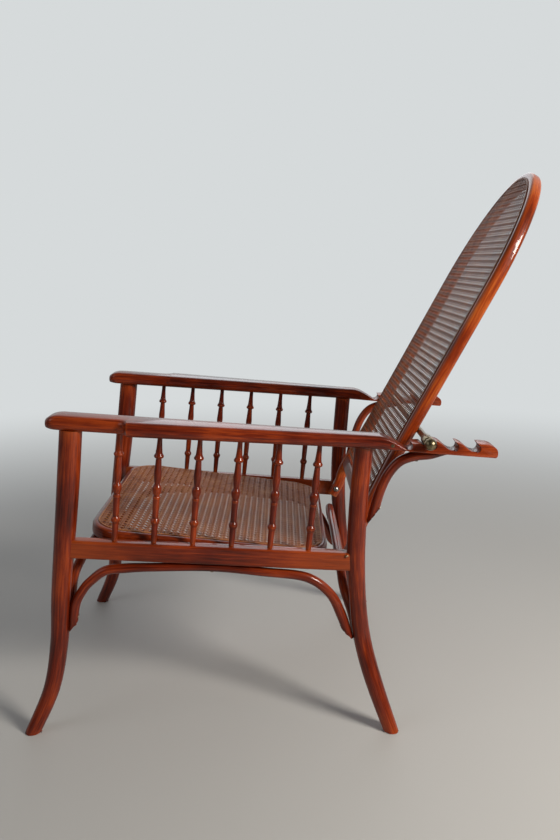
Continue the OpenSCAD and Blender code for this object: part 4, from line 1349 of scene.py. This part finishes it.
@dataclass
class Arches:
    """Bent sticks under the seat: one in each side, one at the front, one at the rear."""

    legs: Legs
    r: float = LINES.arch_r
    side_front_z: float = 186.0
    side_rear_z: float = 164.0
    front_z: float = 188.0
    rear_z: float = 161.0
    rear_crown_z: float = 294.0
    seat_under: float = 354.602
    front_corner: float = 0.7
    rear_corner: tuple[float, float] = (0.93, 0.38)

    def side_ends(self) -> tuple[Guide, Guide]:
        """Points of the front and the rear leg where a side arch ends."""
        return (self.legs.at("front_leg", self.side_front_z),
                self.legs.at("rear_leg", self.side_rear_z))

    def side_guides(self) -> list[Guide]:
        """Guide points of a side arch, from the front leg to the rear leg.

        Returns:
            The guide points.
        """
        front, rear = self.side_ends()
        r, base = self.r, LINES.leg_base
        face = front.y + front.r + r

        def bend(y: float, low: float, high_y: float, share: float, radius: float) -> Guide:
            """Guide point of a bend, at a share of the rise from its foot to the rail."""
            z = mix(low, LINES.rail_under(high_y), share)
            return Guide(LINES.side_x(y, z), y, z, radius)

        front_bends = [bend(face + back, self.side_front_z, face, share, radius)
                       for back, share, radius in ((4, 0.333, r), (19, 0.533, r - 0.5),
                                                   (36, 0.667, r - 0.4), (63, 0.8, r))]
        under_rail = [LINES.under_rail(*p) for p in (
            (175, 9.5, r), (225, 6, r - 0.8), (334, 0.4, r - 0.8), (430, 5, r - 0.5),
            (base - 160, 11, r))]
        rear_bends = [bend(base - ahead, self.side_rear_z, base, share, radius)
                      for ahead, share, radius in ((116, 0.68, r), (94, 0.361, r + 0.6))]
        return [Guide(front.x, face - 1.5, self.side_front_z, r * 0.9), *front_bends,
                *under_rail, *rear_bends,
                Guide(rear.x, rear.y - rear.r - r + 1, self.side_rear_z, r * 0.9)]

    def front_guides(self) -> list[Guide]:
        """Guide points of the arch between the front legs.

        Returns:
            The guide points.
        """
        end, r, half = self.legs.at("front_leg", self.front_z), self.r, LINES.frame_half
        crown = self.seat_under - r - 1.2
        x, y = (end.x - (end.r + r) * self.front_corner, end.y + (end.r + r) * self.front_corner)
        # Distance inside the frame, distance back and share of the rise
        bends = ((19, 73, 0.605), (37, 84, 0.79), (65, 98, 0.917))
        left = [Guide(x, y, self.front_z, r * 0.9),
                Guide(x - 5, y, mix(self.front_z, crown, 0.3), r),
                *[Guide(half - d, at, mix(self.front_z, crown, t), r) for d, at, t in bends],
                Guide(half - 108, 106, crown - 1, r)]
        return self._whole(left, Guide(0, 107, crown, r))

    def rear_guides(self) -> list[Guide]:
        """Guide points of the arch between the rear legs.

        Returns:
            The guide points.
        """
        foot_z, crown_z, r, half = self.rear_z, self.rear_crown_z, self.r, LINES.frame_half
        end, leg = self.legs.at("rear_leg", foot_z), self.legs.at("rear_leg", crown_z - 4)
        y = leg.y - leg.r - r - 0.5
        inward, ahead = ((end.r + r) * share for share in self.rear_corner)
        bend_z = mix(foot_z, crown_z, 0.34)
        bend = self.legs.at("rear_leg", bend_z)
        left = [
            Guide(end.x - inward, end.y - ahead, foot_z, r * 0.9),
            Guide(bend.x - inward - 2, bend.y - ahead - 3, bend_z, r),
            Guide(half - 40, y + 6, mix(foot_z, crown_z, 0.68), r),
            Guide(half - 68, y + 1, mix(foot_z, crown_z, 0.917), r),
            Guide(half - 108, y, crown_z - 2, r),
        ]
        return self._whole(left, Guide(0, y, crown_z, r))

    @staticmethod
    def _whole(left: Sequence[Guide], crown: Guide) -> list[Guide]:
        """Mirrors the left half of an arch to the right."""
        return [*left, crown, *(Guide(-g.x, g.y, g.z, g.r) for g in reversed(left))]

    def build(self, finishes: Finishes) -> None:
        """Bends the four arches, saws the side ones to the legs and softens their ends.

        Args:
            finishes: The chair's finishes.
        """
        side = bent_stick(self.side_guides(), Vector((1, 0, 0)))
        front, rear = self.side_ends()
        for y, z, angle in ((front.y + front.r + 2, self.side_front_z, 50),
                            (rear.y - rear.r - 2, self.side_rear_z, -40)):
            side.cut(room(front.x, y, z), slanted(angle), SAWN_ARRIS, 48 * MM, 3)
        show_both(side, "side_arch", "side_arch_{}", finishes.beech)
        for node, guides in (("front_arch", self.front_guides()),
                             ("rear_arch", self.rear_guides())):
            piece = bent_stick(guides, Vector((0, 1, 0)))
            piece.soften(1.2 * MM, 50)
            show(piece.mesh(f"bent_{node}"), finishes.beech, Body.FRAME, BEECH_SLOT, node)


class Strand(NamedTuple):
    """Straight run of cane between two points of its panel, in millimetres."""

    start: Vector
    end: Vector
    heights: tuple[tuple[float, float], ...]


@dataclass
class Weave:
    """Six-way cane: pairs along, pairs across and one strand along each diagonal."""

    outline: list[tuple[float, float]]
    frame: Matrix
    pitch: float = 13.0
    width: float = 2.3
    thick: float = 0.5
    pair: float = 1.35
    seed: int = 11
    sink: float = 0.9
    low: float = 0.45
    middle: float = 1.1
    high: float = 1.75
    over: float = 2.3
    diagonal_offset: float = 0.33
    crown: float = 0.16
    end_run: float = 1.5

    def span(self, point: Vector, way: Vector) -> tuple[float, float] | None:
        """Finds where a line enters and leaves the panel.

        Args:
            point: Point of the line.
            way: Unit direction of the line.

        Returns:
            Distances along the line, or None where it misses the panel.
        """
        hits = []
        n = len(self.outline)
        for i in range(n):
            a = Vector(self.outline[i]) - point
            b = Vector(self.outline[(i + 1) % n]) - point
            side_a = way.x * a.y - way.y * a.x
            side_b = way.x * b.y - way.y * b.x
            if (side_a > 0) != (side_b > 0):
                hits.append(a.lerp(b, side_a / (side_a - side_b)).dot(way))
        if len(hits) < 2 or max(hits) - min(hits) < 6:
            return None
        return min(hits), max(hits)

    def straight(self, along_x: bool) -> list[Strand]:
        """Pairs of straight strands along one axis of the panel.

        Args:
            along_x: Whether they run across the panel.

        Returns:
            The strands.
        """
        way = Vector((1, 0)) if along_x else Vector((0, 1))
        at = [p[1 if along_x else 0] for p in self.outline]
        middle, count = (min(at) + max(at)) / 2, int((max(at) - min(at)) / 2 / self.pitch)
        strands = []
        for k in range(-count, count + 1):
            for shift in (-self.pair, self.pair):
                place = middle + k * self.pitch + shift
                level = self.middle if along_x else (self.low if shift < 0 else self.high)
                point = Vector((0, place)) if along_x else Vector((place, 0))
                strands += self.between(point, way, lambda d, length: ((0, level), (length, level)))
        return strands

    def between(self, point: Vector, way: Vector,
                heights: Callable[[float, float], tuple[tuple[float, float], ...]]
                ) -> list[Strand]:
        """Runs a strand along a line from edge to edge of the panel.

        Args:
            point: Point of the line.
            way: Unit direction of the line.
            heights: Distances and heights of a strand that starts at a distance from the
                point and has a length.

        Returns:
            The strand, or nothing where the line misses the panel.
        """
        span = self.span(point, way)
        if span is None:
            return []
        s, e = point + way * span[0], point + way * span[1]
        return [Strand(s, e, heights((s - point).dot(way), (e - s).length))]

    def slanted(self, sign: int) -> list[Strand]:
        """Strands along one diagonal, woven over one set of pairs and under the other.

        Args:
            sign: 1 or -1, the slope of the diagonal.

        Returns:
            The strands.
        """
        way = Vector((1, sign)).normalized()
        xs, ys = zip(*self.outline)
        x0, y0 = (min(xs) + max(xs)) / 2, (min(ys) + max(ys)) / 2
        reach = int((max(xs) - min(xs) + max(ys) - min(ys)) / 2 / self.pitch) + 1
        offset = self.pitch * self.diagonal_offset * sign
        strands = []
        for k in range(-reach, reach + 1):
            strands += self.between(Vector((x0, y0 + k * self.pitch + offset)), way,
                                    lambda d, length: self._woven(d, length, sign))
        return strands

    def _woven(self, start: float, length: float, sign: int) -> tuple[tuple[float, float], ...]:
        """Distances and heights of a diagonal strand, over and under by turns.

        Args:
            start: Where the strand starts along its line.
            length: Length of the strand.
            sign: 1 or -1, the slope of the diagonal.

        Returns:
            Rows of distance from the start and height.
        """
        period = self.pitch * math.sqrt(2)
        top, bottom = (self.over, self.low - 0.1) if sign > 0 else (self.over - 0.15, self.low)
        first, second = (top, bottom) if sign > 0 else (bottom, top)
        cycle = ((-2.7, first), (2.7, first), (4.6, second), (9.2, second))
        rows = []
        at = math.floor(start / period) - 1
        for k in range(at, at + int(length / period) + 4):
            for u, h in cycle:
                d = k * period + u - start
                if 1.0 < d < length - 1.0:
                    rows.append((d, h))
        rows = rows or [(length / 2, self.middle)]
        return ((0.0, self.middle), *rows, (length, self.middle))

    def build(self, name: str, strands: Sequence[Strand], columns: int) -> bpy.types.Object:
        """Lays strands as thin strips and gives them their thickness.

        Args:
            name: The object's name.
            strands: The strands of one layer.
            columns: Strips across a strand: 2 gives it a crown.

        Returns:
            The new object, at the origin.
        """
        rng = random.Random(f"{self.seed}{name}")
        bm = bmesh.new()
        grain = bm.verts.layers.float_vector.new(GRAIN)
        tint = bm.verts.layers.float.new(TINT)
        for strand in strands:
            length = (strand.end - strand.start).length
            way = (strand.end - strand.start) / length
            across = Vector((-way.y, way.x))
            rows = self._tucked(strand.heights, length)
            made = bmesh.ops.create_grid(bm, x_segments=len(rows) - 1, y_segments=columns, size=1.0)
            tone, wander = rng.uniform(0.25, 0.75), rng.uniform(-0.25, 0.25)
            for v in made["verts"]:
                d, h = rows[round((v.co.x + 1) / 2 * (len(rows) - 1))]
                side = v.co.y * self.width / 2
                crown = self.crown if columns > 1 and abs(v.co.y) < 0.5 else 0.0
                flat = strand.start + way * d + across * (side + wander)
                v.co = Vector((flat.x, flat.y, h + crown)) * MM
                v[grain] = (d * MM, side * MM, tone)
                v[tint] = tone
        bmesh.ops.transform(bm, matrix=self.frame, verts=bm.verts)
        thing = as_object(name, bm)
        wall = thing.modifiers.new("split_thickness", "SOLIDIFY")
        wall.thickness, wall.offset = self.thick * MM, 0.0
        return thing

    def _tucked(self, heights: Sequence[tuple[float, float]],
                length: float) -> list[tuple[float, float]]:
        """Rows of a strand whose two ends dip into their holes in the wood.

        Args:
            heights: Distances and heights, from end to end.
            length: Length of the strand.

        Returns:
            Rows of distance and height, in order.
        """
        first, last = heights[0][1], heights[-1][1]
        rows = {0.0: first - self.sink, self.end_run: first, **dict(heights[1:-1]),
                length - self.end_run: last, length: last - self.sink}
        return sorted(rows.items())

    def lay(self, node: str, material: bpy.types.Material, body: Body) -> None:
        """Weaves the whole panel in place of its node and edges it with a reed.

        Args:
            node: The CAD node, which also begins the pieces' names.
            material: The cane's finish.
            body: Body that the panel rides on.
        """
        layers = (("rows", self.straight(True), 2), ("columns", self.straight(False), 2),
                  ("diagonals_a", self.slanted(1), 1), ("diagonals_b", self.slanted(-1), 1))
        for name, strands, columns in layers:
            show(self.build(f"{node}_{name}", strands, columns), material, body, node, node)
        show(reed_edging(f"{node}_reed", self.outline, self.frame), material, body, node)


def reed_edging(name: str, outline: Sequence[tuple[float, float]], frame: Matrix,
                width: float = 4.2, height: float = 2.2) -> bpy.types.Object:
    """Lays a round reed along the edge of a panel.

    Args:
        name: The object's name.
        outline: Edge of the panel in millimetres.
        frame: Frame of the panel.
        width: Width of the reed.
        height: How far it stands above the wood.

    Returns:
        The new object.
    """
    piece = Workpiece()
    path = [frame @ (Vector((x, y, height * 0.35)) * MM) for x, y in outline]
    up = frame.to_3x3() @ Vector((0, 0, 1))
    frames = frames_along(path, up, closed=True)
    fit = round_fit(width / 2 * MM, height / width)
    piece.ring(piece.round_face(10), frames, [fit] * len(frames))
    thing = piece.mesh(name, crease=80)
    # A little paler than the strands' middle tone: the reed's own tone and a painted highlight
    # along the rim
    tint = thing.data.attributes.new(TINT, "FLOAT", "POINT")
    tint.data.foreach_set("value", [0.62] * len(thing.data.vertices))
    return thing


@dataclass
class Seat:
    """Seat ring of bent beech, carried by dowels, with its cane panel."""

    y1: float = 101.33
    y2: float = 554.839
    top_z: float = 381.0
    fall: float = math.radians(6.56)
    thickness: float = 26.0
    rim: float = 30.0
    corner: float = 70.0
    lap: float = 18.0
    arris: float = 7.0

    def edge_x(self, y: float) -> float:
        """Outer edge of the ring, a hair inside the rail."""
        return (LINES.side_x(y, LINES.rail_z(y) - LINES.rail_depth / 2)
                - LINES.rail_width / 2 - 0.4)

    def outline(self, inset: float, steps: int = 14) -> list[tuple[float, float]]:
        """Rounded outline of the ring in plan, inset from its edge.

        Args:
            inset: Distance inside the edge, in millimetres.
            steps: Steps round a corner.

        Returns:
            Distances to the left and back from the front edge's middle.
        """
        c, r = self.corner, self.corner - inset
        xf, xr = self.edge_x(self.y1 + c), self.edge_x(self.y2 - c)
        points = []
        for x, y, a in ((xr - c, self.y2 - c, 0), (c - xr, self.y2 - c, 90),
                        (c - xf, self.y1 + c, 180), (xf - c, self.y1 + c, 270)):
            for k in range(steps + 1):
                t = math.radians(a + 90 * k / steps)
                points.append((x + r * math.cos(t), y - self.y1 + r * math.sin(t)))
        return points

    def frame(self) -> Matrix:
        """Frame of the ring's top, with its origin at the middle of the front edge.

        Returns:
            The frame, in metres.
        """
        frame = Matrix.Rotation(-self.fall, 4, "X")
        frame.translation = room(0, self.y1, self.top_z)
        return frame

    def build(self, finishes: Finishes) -> None:
        """Bends the ring and weaves the panel.

        Args:
            finishes: The chair's finishes.
        """
        frame = self.frame()
        up = frame.to_3x3() @ Vector((0, 0, 1))
        path = [frame @ (Vector((x, y, -self.thickness / 2)) * MM)
                for x, y in self.outline(self.rim / 2)]
        piece = Workpiece()
        fit = board_fit(self.rim * MM, self.thickness * MM, self.arris * MM)
        piece.ring(piece.board_face(), frames_along(path, up, closed=True), [fit] * len(path))
        show(piece.mesh("bent_seat_ring"), finishes.beech, Body.FRAME, BEECH_SLOT, "seat_ring")
        weave = Weave(self.outline(self.rim - self.lap), frame, width=2.7)
        weave.lay("seat_cane", finishes.seat_cane, Body.FRAME)


@dataclass
class Back:
    """Folding back: a bent hoop, its cross rail and a long cane panel."""

    length: float = 793.0
    half: float = 195.0
    arch: float = 248.0
    stick_w: float = 26.0
    stick_t: float = 23.0
    foot_mid: float = 214.198
    end: float = 19.0
    set_back: float = -8.4
    rounding: float = 7.5
    lap: float = 11.0
    rail_s: float = 74.0
    rail_depth: float = 30.0
    rail_thick: float = 20.0
    rail_set: float = 0.9
    cane_gap: float = 0.1

    @property
    def mid(self) -> float:
        """Half the distance between the middles of the hoop's sides."""
        return self.half - self.stick_w / 2

    @property
    def arch_s(self) -> float:
        """Where the hoop's arched top begins."""
        return self.length - self.arch

    def side_line(self, steps: int) -> list[tuple[float, ...]]:
        """Left side of the hoop: distances out, up and back.

        Args:
            steps: Steps between two guide points.

        Returns:
            The line's points.
        """
        f, m, n = self.foot_mid, self.mid, self.set_back
        return smooth_curve([
            (f, -self.end, 0), (f, 16, 0), (f - 1, 34, n * 0.5), (f - 5, 58, n * 0.94),
            (mix(f, m, 0.45), 95, n),
            (m + 3, 180, n), (m, 320, n), (m, self.arch_s, n),
        ], steps)

    def path(self) -> list[Vector]:
        """Middle of the hoop's stick from one pivot to the other.

        Returns:
            The points, in metres.
        """
        side = self.side_line(6)
        rise = self.arch - self.stick_w / 2
        top = [(self.mid * math.cos(a), self.arch_s + rise * math.sin(a), self.set_back)
               for a in (math.radians(3 * k) for k in range(1, 60))]
        right = [(-x, s, n) for x, s, n in reversed(side)]
        return [LINES.on_back(*p) for p in (*side, *top, *right)]

    def x_at(self, s: float) -> float:
        """Middle of the hoop's side at a height."""
        return look_up(s, [(p[1], p[0]) for p in self.side_line(4)])

    def panel(self) -> list[tuple[float, float]]:
        """Edge of the cane panel: distances across and up the back.

        Returns:
            The edge's points, in millimetres.
        """
        foot_s = self.rail_s + 26
        foot = self.x_at(foot_s) - self.stick_w / 2 + self.lap - 5
        half = self.mid - self.stick_w / 2 + self.lap
        rise = self.arch - self.stick_w + self.lap
        sides = [mix(180, self.arch_s, k / 8) for k in range(9)]
        top = [(half * math.cos(a), self.arch_s + rise * math.sin(a))
               for a in (math.radians(4.5 * k) for k in range(1, 40))]
        r = 14
        return [(foot - r, foot_s), (foot - r * 0.3, foot_s + r * 0.3), (foot - 1, foot_s + r),
                *[(half, s) for s in sides], *top,
                *[(-half, s) for s in reversed(sides)], (1 - foot, foot_s + r),
                (r * 0.3 - foot, foot_s + r * 0.3), (r - foot, foot_s)]

    def frame(self) -> Matrix:
        """Frame of the panel, its z axis towards the sitter.

        Returns:
            The frame, in metres.
        """
        c, i = math.cos(LINES.back_lean), math.sin(LINES.back_lean)
        frame = Matrix(((1, 0, 0), (0, i, -c), (0, c, i))).to_4x4()
        frame.translation = LINES.on_back(0, 0, self.set_back - self.stick_t / 2 - self.cane_gap)
        return frame

    def build(self, finishes: Finishes) -> None:
        """Bends the hoop, sets its rail and weaves the panel.

        Args:
            finishes: The chair's finishes.
        """
        out = Vector((0, math.cos(LINES.back_lean), -math.sin(LINES.back_lean)))
        path = self.path()
        piece = Workpiece()
        fit = board_fit(self.stick_w * MM, self.stick_t * MM, self.rounding * MM)
        piece.sweep(piece.board_face(5), frames_along(path, -out), [fit] * len(path))
        piece.soften(2.5 * MM, 60)
        # The hoop wears the lighter copy of the beech: painted light for its lit faces
        show(piece.mesh("bent_back_hoop"), finishes.hoop, Body.BACK, BEECH_SLOT, "back_hoop")
        reach = self.x_at(self.rail_s) - self.stick_w / 2 + 1
        rail_path = [LINES.on_back(x, self.rail_s, self.set_back * self.rail_set)
                     for x in (-reach, -reach / 2, 0, reach / 2, reach)]
        rail = board([Section(f, self.rail_depth * MM, self.rail_thick * MM, 5 * MM)
                      for f in frames_along(rail_path, out)])
        show(rail.mesh("back_cross_rail"), finishes.beech, Body.BACK, BEECH_SLOT,
             "back_lower_rail")
        weave = Weave(self.panel(), self.frame(), width=2.1, thick=0.36, seed=23,
                      low=0.42, middle=0.8, high=1.2, over=1.62)
        weave.lay("back_cane", finishes.back_cane, Body.BACK)


@dataclass
class SupportBar:
    """Brass bar across the racks, with a turned ball on each end."""

    ball_r: float = 11.0
    neck_r: float = 4.6
    collar_r: float = 9.5
    collar_arris: float = 1.2
    bar_r: float = 6.2
    rack_inner: float = 240.852
    rack_outer: float = 280.852

    def turned(self, rows: Sequence[tuple[float, float]]) -> Workpiece:
        """Turns a profile of distances from the middle and radii on the bar's line.

        Args:
            rows: Distances from the middle and radii, in millimetres.

        Returns:
            The turned piece.
        """
        y, z = LINES.bar
        piece = Workpiece()
        piece.turn([(x * MM, r * MM) for x, r in rows], 48, room(0, y, z), room(1, y, z))
        return piece

    def build(self, finishes: Finishes) -> None:
        """Turns the bar, its collars and its balls.

        Args:
            finishes: The chair's finishes.
        """
        half, r = self.rack_outer + 3, self.bar_r
        rod = self.turned([(-half, 0), (-half, r), (0, r), (half, r), (half, 0)])
        show(rod.mesh("brass_bar"), finishes.brass, Body.BAR, BRASS_SLOT, "bar_rod")
        a, b, c, e = self.rack_inner + 5, self.rack_outer - 3, self.collar_r, self.collar_arris
        collar = self.turned([(a, r), (a, c - e), (a + e * 0.3, c - e * 0.3), (a + e, c),
                              (b - e, c), (b - e * 0.3, c - e * 0.3), (b, c - e), (b, r)])
        show_both(collar, "bar_collar", "bar_collar_{}", finishes.brass, Body.BAR, BRASS_SLOT)
        ball_x, neck = half + self.ball_r - 1.5, half - 0.4
        arc = [math.radians(k * 7.5) for k in range(25)]
        rows = [(ball_x - self.ball_r * math.cos(t), self.ball_r * math.sin(t)) for t in arc]
        rows = [(x, max(w, self.neck_r) if x < half + 0.6 else w) for x, w in rows if x >= neck]
        show_both(self.turned([(neck, 0), *rows]), "bar_ball", "bar_ball_{}", finishes.brass,
                  Body.BAR, BRASS_SLOT, crease=60)


@dataclass
class Screws:
    """Slotted screws with raised heads, as far as they show, with their shanks."""

    legs: Legs
    racks: Racks
    arms: Arms
    arches: Arches
    head_r: float = 3.25
    shank_r: float = 1.8
    length: float = 16.0
    half_slot: float = 0.42
    slot_depth: float = 0.7
    side_front_z: float = 213.0
    side_rear_z: float = 191.0
    front_z: float = 206.0
    rear_z: float = 182.0
    brace_z: float = 422.0
    middle_y: float = 334.0
    crown: tuple[float, float] = (100.0, 107.0)

    def into_leg(self, leg: str, stick: Sequence[Sequence[float]], z: float,
                 way: int) -> tuple[Vector, Vector]:
        """Screw through a stick that climbs along a leg.

        Args:
            leg: The leg.
            stick: Points of the stick's lower end, upwards.
            z: Height of the screw.
            way: 1 behind the leg, -1 ahead of it.

        Returns:
            Its head and its aim.
        """
        p = self.legs.at(leg, z)
        face = look_up(z, [(q[2], q[1] + way * q[3]) for q in stick]) + 0.1 * way
        return room(p.x, face, z), room(p.x, p.y + 3 * way, z)

    def places(self) -> dict[str, list[tuple[Vector, Vector]]]:
        """Heads and the points they aim at, on the left side, by node.

        Returns:
            Pairs of head and aim, in metres, for each node.
        """
        arches, racks, r = self.arches, self.racks, LINES.arch_r
        side = smooth_curve(arches.side_guides(), 4)
        arch = [self.into_leg("front_leg", side[:9], self.side_front_z, 1),
                self.into_leg("rear_leg", side[:-10:-1], self.side_rear_z, -1)]
        y, z = self.middle_y, LINES.rail_z(self.middle_y)
        x = LINES.side_x(y, z)
        arch.append((room(x, y, z - LINES.rail_depth / 2 - r * 2 + 1.0), room(x, y, z)))
        p = self.legs.at("front_leg", self.front_z)
        end_r = self.legs.at("front_leg", arches.front_z).r
        q = (end_r + r) * arches.front_corner + r * 0.75 + 2.5
        arch.append((room(p.x - q, p.y + q, self.front_z), room(*p[:3])))
        p = self.legs.at("rear_leg", self.rear_z)
        inward, ahead = arches.rear_corner
        q = self.legs.at("rear_leg", arches.rear_z).r + r
        q *= 1 + (r + 0.6) / (q * math.hypot(inward, ahead))
        arch.append((room(p.x - q * inward - 0.7, p.y - q * ahead - 1, self.rear_z),
                     room(*p[:3])))
        arch.append((room(*self.crown, arches.seat_under - r * 2 - 1),
                     room(*self.crown, arches.seat_under + 14)))
        y = self.legs.rail_ends()[1].y - 21
        z = LINES.rail_z(y) + LINES.rail_depth / 2 - 5
        x = LINES.side_x(y, z) + LINES.rail_width / 2
        rail = (room(x + 0.6, y, z), room(x - 9, y + 20, z))
        stick = smooth_curve(racks.brace_guides(), 4)
        y, middle = LINES.leg_base + 36, racks.inner + racks.width / 2
        under = racks.under(y)
        brace = [self.into_leg("rear_leg", stick[:9], self.brace_z, 1),
                 (room(middle, y, under - 20.3), room(middle, y, under + 13))]
        y = racks.start + 5
        z = LINES.arm_under(y) + 8.5
        lap = (room(self.arms.outer(y) + 0.4, y, z), room(racks.inner + 5, y, z))
        return {"arch_screws": arch, "rail_screws": [rail], "brace_screws": brace,
                "lap_screws": [lap]}

    def one(self, head: Vector, aim: Vector, turn: float) -> Workpiece:
        """Turns one screw and cuts its slot.

        Args:
            head: Middle of the head.
            aim: Point that the screw aims at.
            turn: Angle of the slot.

        Returns:
            The screw.
        """
        piece = Workpiece()
        bm = piece.bm
        head_r, shank_r, half_slot = self.head_r * MM, self.shank_r * MM, self.half_slot * MM
        spun = Matrix.Rotation(turn, 3, "Z")
        across = spun @ Vector((1, 0, 0))
        made = bmesh.ops.create_circle(bm, cap_ends=True, radius=head_r * 0.94, segments=20)
        bmesh.ops.rotate(bm, verts=made["verts"], matrix=spun)
        for at in (half_slot, -half_slot):
            bmesh.ops.bisect_plane(bm, geom=[*bm.verts, *bm.edges, *bm.faces], dist=SAME_PLACE,
                                   plane_co=across * at, plane_no=across)
        slot = [f for f in bm.faces if abs(f.calc_center_median().dot(across)) < half_slot / 2]
        piece.pushed(slot, Vector((0, 0, self.slot_depth * MM)))
        edges = [e for e in bm.edges if e.is_boundary]
        for radius, depth in ((head_r, 0.35), (head_r, 0.7), (shank_r, 2.6),
                              (shank_r, self.length)):
            verts, edges = piece.drawn_loop(edges)
            for v in verts:
                flat = Vector((v.co.x, v.co.y, 0)).normalized() * radius
                v.co = Vector((flat.x, flat.y, depth * MM))
        bmesh.ops.holes_fill(bm, edges=edges)
        piece.move(turned_to(head, aim))
        return piece

    def build(self, finishes: Finishes) -> None:
        """Sets every screw and its mirror image, joined by node.

        Args:
            finishes: The chair's finishes.
        """
        rng = random.Random(5)
        for node, pairs in self.places().items():
            joined = Workpiece()
            bm = joined.bm
            for head, aim in pairs:
                data = bpy.data.meshes.new("screw")
                self.one(head, aim, rng.uniform(0, math.pi)).bm.to_mesh(data)
                bm.from_mesh(data)
                bpy.data.meshes.remove(data)
            copy = bmesh.ops.duplicate(bm, geom=[*bm.verts, *bm.edges, *bm.faces])["geom"]
            bmesh.ops.scale(bm, vec=(-1, 1, 1),
                            verts=[g for g in copy if isinstance(g, bmesh.types.BMVert)])
            show(joined.mesh(f"slotted_{node}", crease=30), finishes.screw_brass, Body.FRAME,
                 "brass_screws", node)


def dress_small_nodes(frame: dict, finishes: Finishes) -> None:
    """Gives the CAD nodes that stay their materials.

    Args:
        frame: The shared frame.
        finishes: The chair's finishes.
    """
    wanted = {"pivot_bolt_left": finishes.steel, "pivot_bolt_right": finishes.steel,
              "pivot_washers": finishes.steel, "seat_dowels": finishes.dowel}
    for node, material in wanted.items():
        data = frame["nodes"][node].data
        data.materials.clear()
        data.materials.append(material)
        LOG.info("%s keeps its CAD shape", node)


class Lamp(NamedTuple):
    """Square lamp that faces the chair: its place and size in metres, watts and colour."""

    name: str
    at: tuple[float, float, float]
    size: float
    power: float
    colour: str


@dataclass(frozen=True)
class Studio:
    """Pale floor, soft lamps and the camera at the photograph's angle."""

    eye: tuple[float, float, float] = (1.6759, -0.01036, 0.8671)
    look: tuple[float, float, float] = (-0.981, -0.0026, -0.1942)
    lens: float = 34.83
    sensor: float = 36.0
    backdrop: str = "#D6DADB"
    sky: str = "#F2F4F6"
    ambient: float = 0.2
    mirrored_room: float = 0.04
    floor_radius: float = 14.0
    floor_drop: float = 0.0005
    lit_point: tuple[float, float, float] = (0, 0, 0.45)
    lamps: tuple[Lamp, ...] = (
        Lamp("window", (1.5, 1.8, 1.6), 0.7, 66.0, "#FFFAF2"),
        Lamp("front", (1.4, -2.4, 1.8), 1.6, 9.0, "#F4F8FF"),
        Lamp("wall", (-2.4, 0.3, 1.9), 2.0, 16.0, "#F4F8FF"),
    )

    def build(self) -> None:
        """Sets up the floor, the light and the camera."""
        self._floor()
        self._world()
        for lamp in self.lamps:
            self._hang(lamp)
        self._camera()
        bpy.context.scene.view_settings.view_transform = "Standard"

    def _floor(self) -> None:
        """Lays the floor."""
        bm = bmesh.new()
        bmesh.ops.create_circle(bm, cap_ends=True, radius=self.floor_radius, segments=64)
        bmesh.ops.translate(bm, verts=bm.verts, vec=(0, 0, -self.floor_drop))
        floor = as_object("studio_floor", bm)
        floor.data.materials.append(PaleFloor().build())

    def _world(self) -> None:
        """Lights the room evenly, with a pale backdrop that metal and varnish mirror."""
        world = bpy.data.worlds.new("soft_room")
        bpy.context.scene.world = world
        g = Graph(world)
        seen = g.add("LightPath", out="Is Camera Ray")
        rays = seen.node.outputs
        mirrored = g.add("Math", {0: rays["Is Glossy Ray"], 1: rays["Is Transmission Ray"]},
                         operation="MAXIMUM")
        # Mirrored rays meet the pale wall across the chair and a dim room on this side
        way = g.add("SeparateXYZ", {0: g.add("TexCoord", out="Generated")}, out="X")
        wall = g.add("MapRange", {"Value": way, "From Min": 0.1, "From Max": -0.75},
                     interpolation_type="SMOOTHSTEP")
        level = g.add("MapRange", {"Value": mirrored, "To Min": self.ambient,
                                   "To Max": self.mirrored_room})
        g.feed("Background", {"Color": linear(self.sky), "Strength": level})
        backdrop = g.add("Background", {"Color": linear(self.backdrop), "Strength": 1.0})
        on_wall = g.add("Math", {0: mirrored, 1: wall}, operation="MULTIPLY")
        share = g.add("Math", {0: seen, 1: on_wall}, operation="MAXIMUM")
        light = g.tree.nodes["Background"].outputs[0]
        both = g.add("MixShader", {0: share, 1: light, 2: backdrop})
        g.feed("World Output", {"Surface": both})

    def _hang(self, lamp: Lamp) -> None:
        """Hangs a lamp.

        Args:
            lamp: The lamp.
        """
        data = bpy.data.lights.new(lamp.name, "AREA")
        data.shape, data.size, data.energy = "SQUARE", lamp.size, lamp.power
        data.color = linear(lamp.colour)[:3]
        thing = bpy.data.objects.new(lamp.name, data)
        place = Vector(lamp.at)
        thing.matrix_world = aimed(place, Vector(self.lit_point) - place)
        thing.visible_camera = False
        bpy.context.scene.collection.objects.link(thing)

    def _camera(self) -> None:
        """Sets the camera where the photograph was taken from."""
        data = bpy.data.cameras.new("camera")
        data.lens, data.sensor_width, data.sensor_fit = self.lens, self.sensor, "AUTO"
        camera = bpy.data.objects.new("camera", data)
        camera.matrix_world = aimed(Vector(self.eye), Vector(self.look))
        bpy.context.scene.collection.objects.link(camera)
        bpy.context.scene.camera = camera


def main() -> None:
    """Builds the chair around its frame."""
    logging.basicConfig(level=logging.INFO, format="%(message)s")
    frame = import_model()
    finishes = Finishes()
    Studio().build()
    legs = Legs()
    legs.build(finishes)
    SideRails(legs).build(finishes)
    Spindles(legs).build(finishes)
    racks = Racks(legs)
    arms = Arms(racks)
    arms.build(finishes)
    racks.build(finishes)
    arches = Arches(legs)
    arches.build(finishes)
    Seat().build(finishes)
    Back().build(finishes)
    SupportBar().build(finishes)
    Screws(legs, racks, arms, arches).build(finishes)
    dress_small_nodes(frame, finishes)
    bpy.context.view_layer.update()


if __name__ == "__main__":
    main()
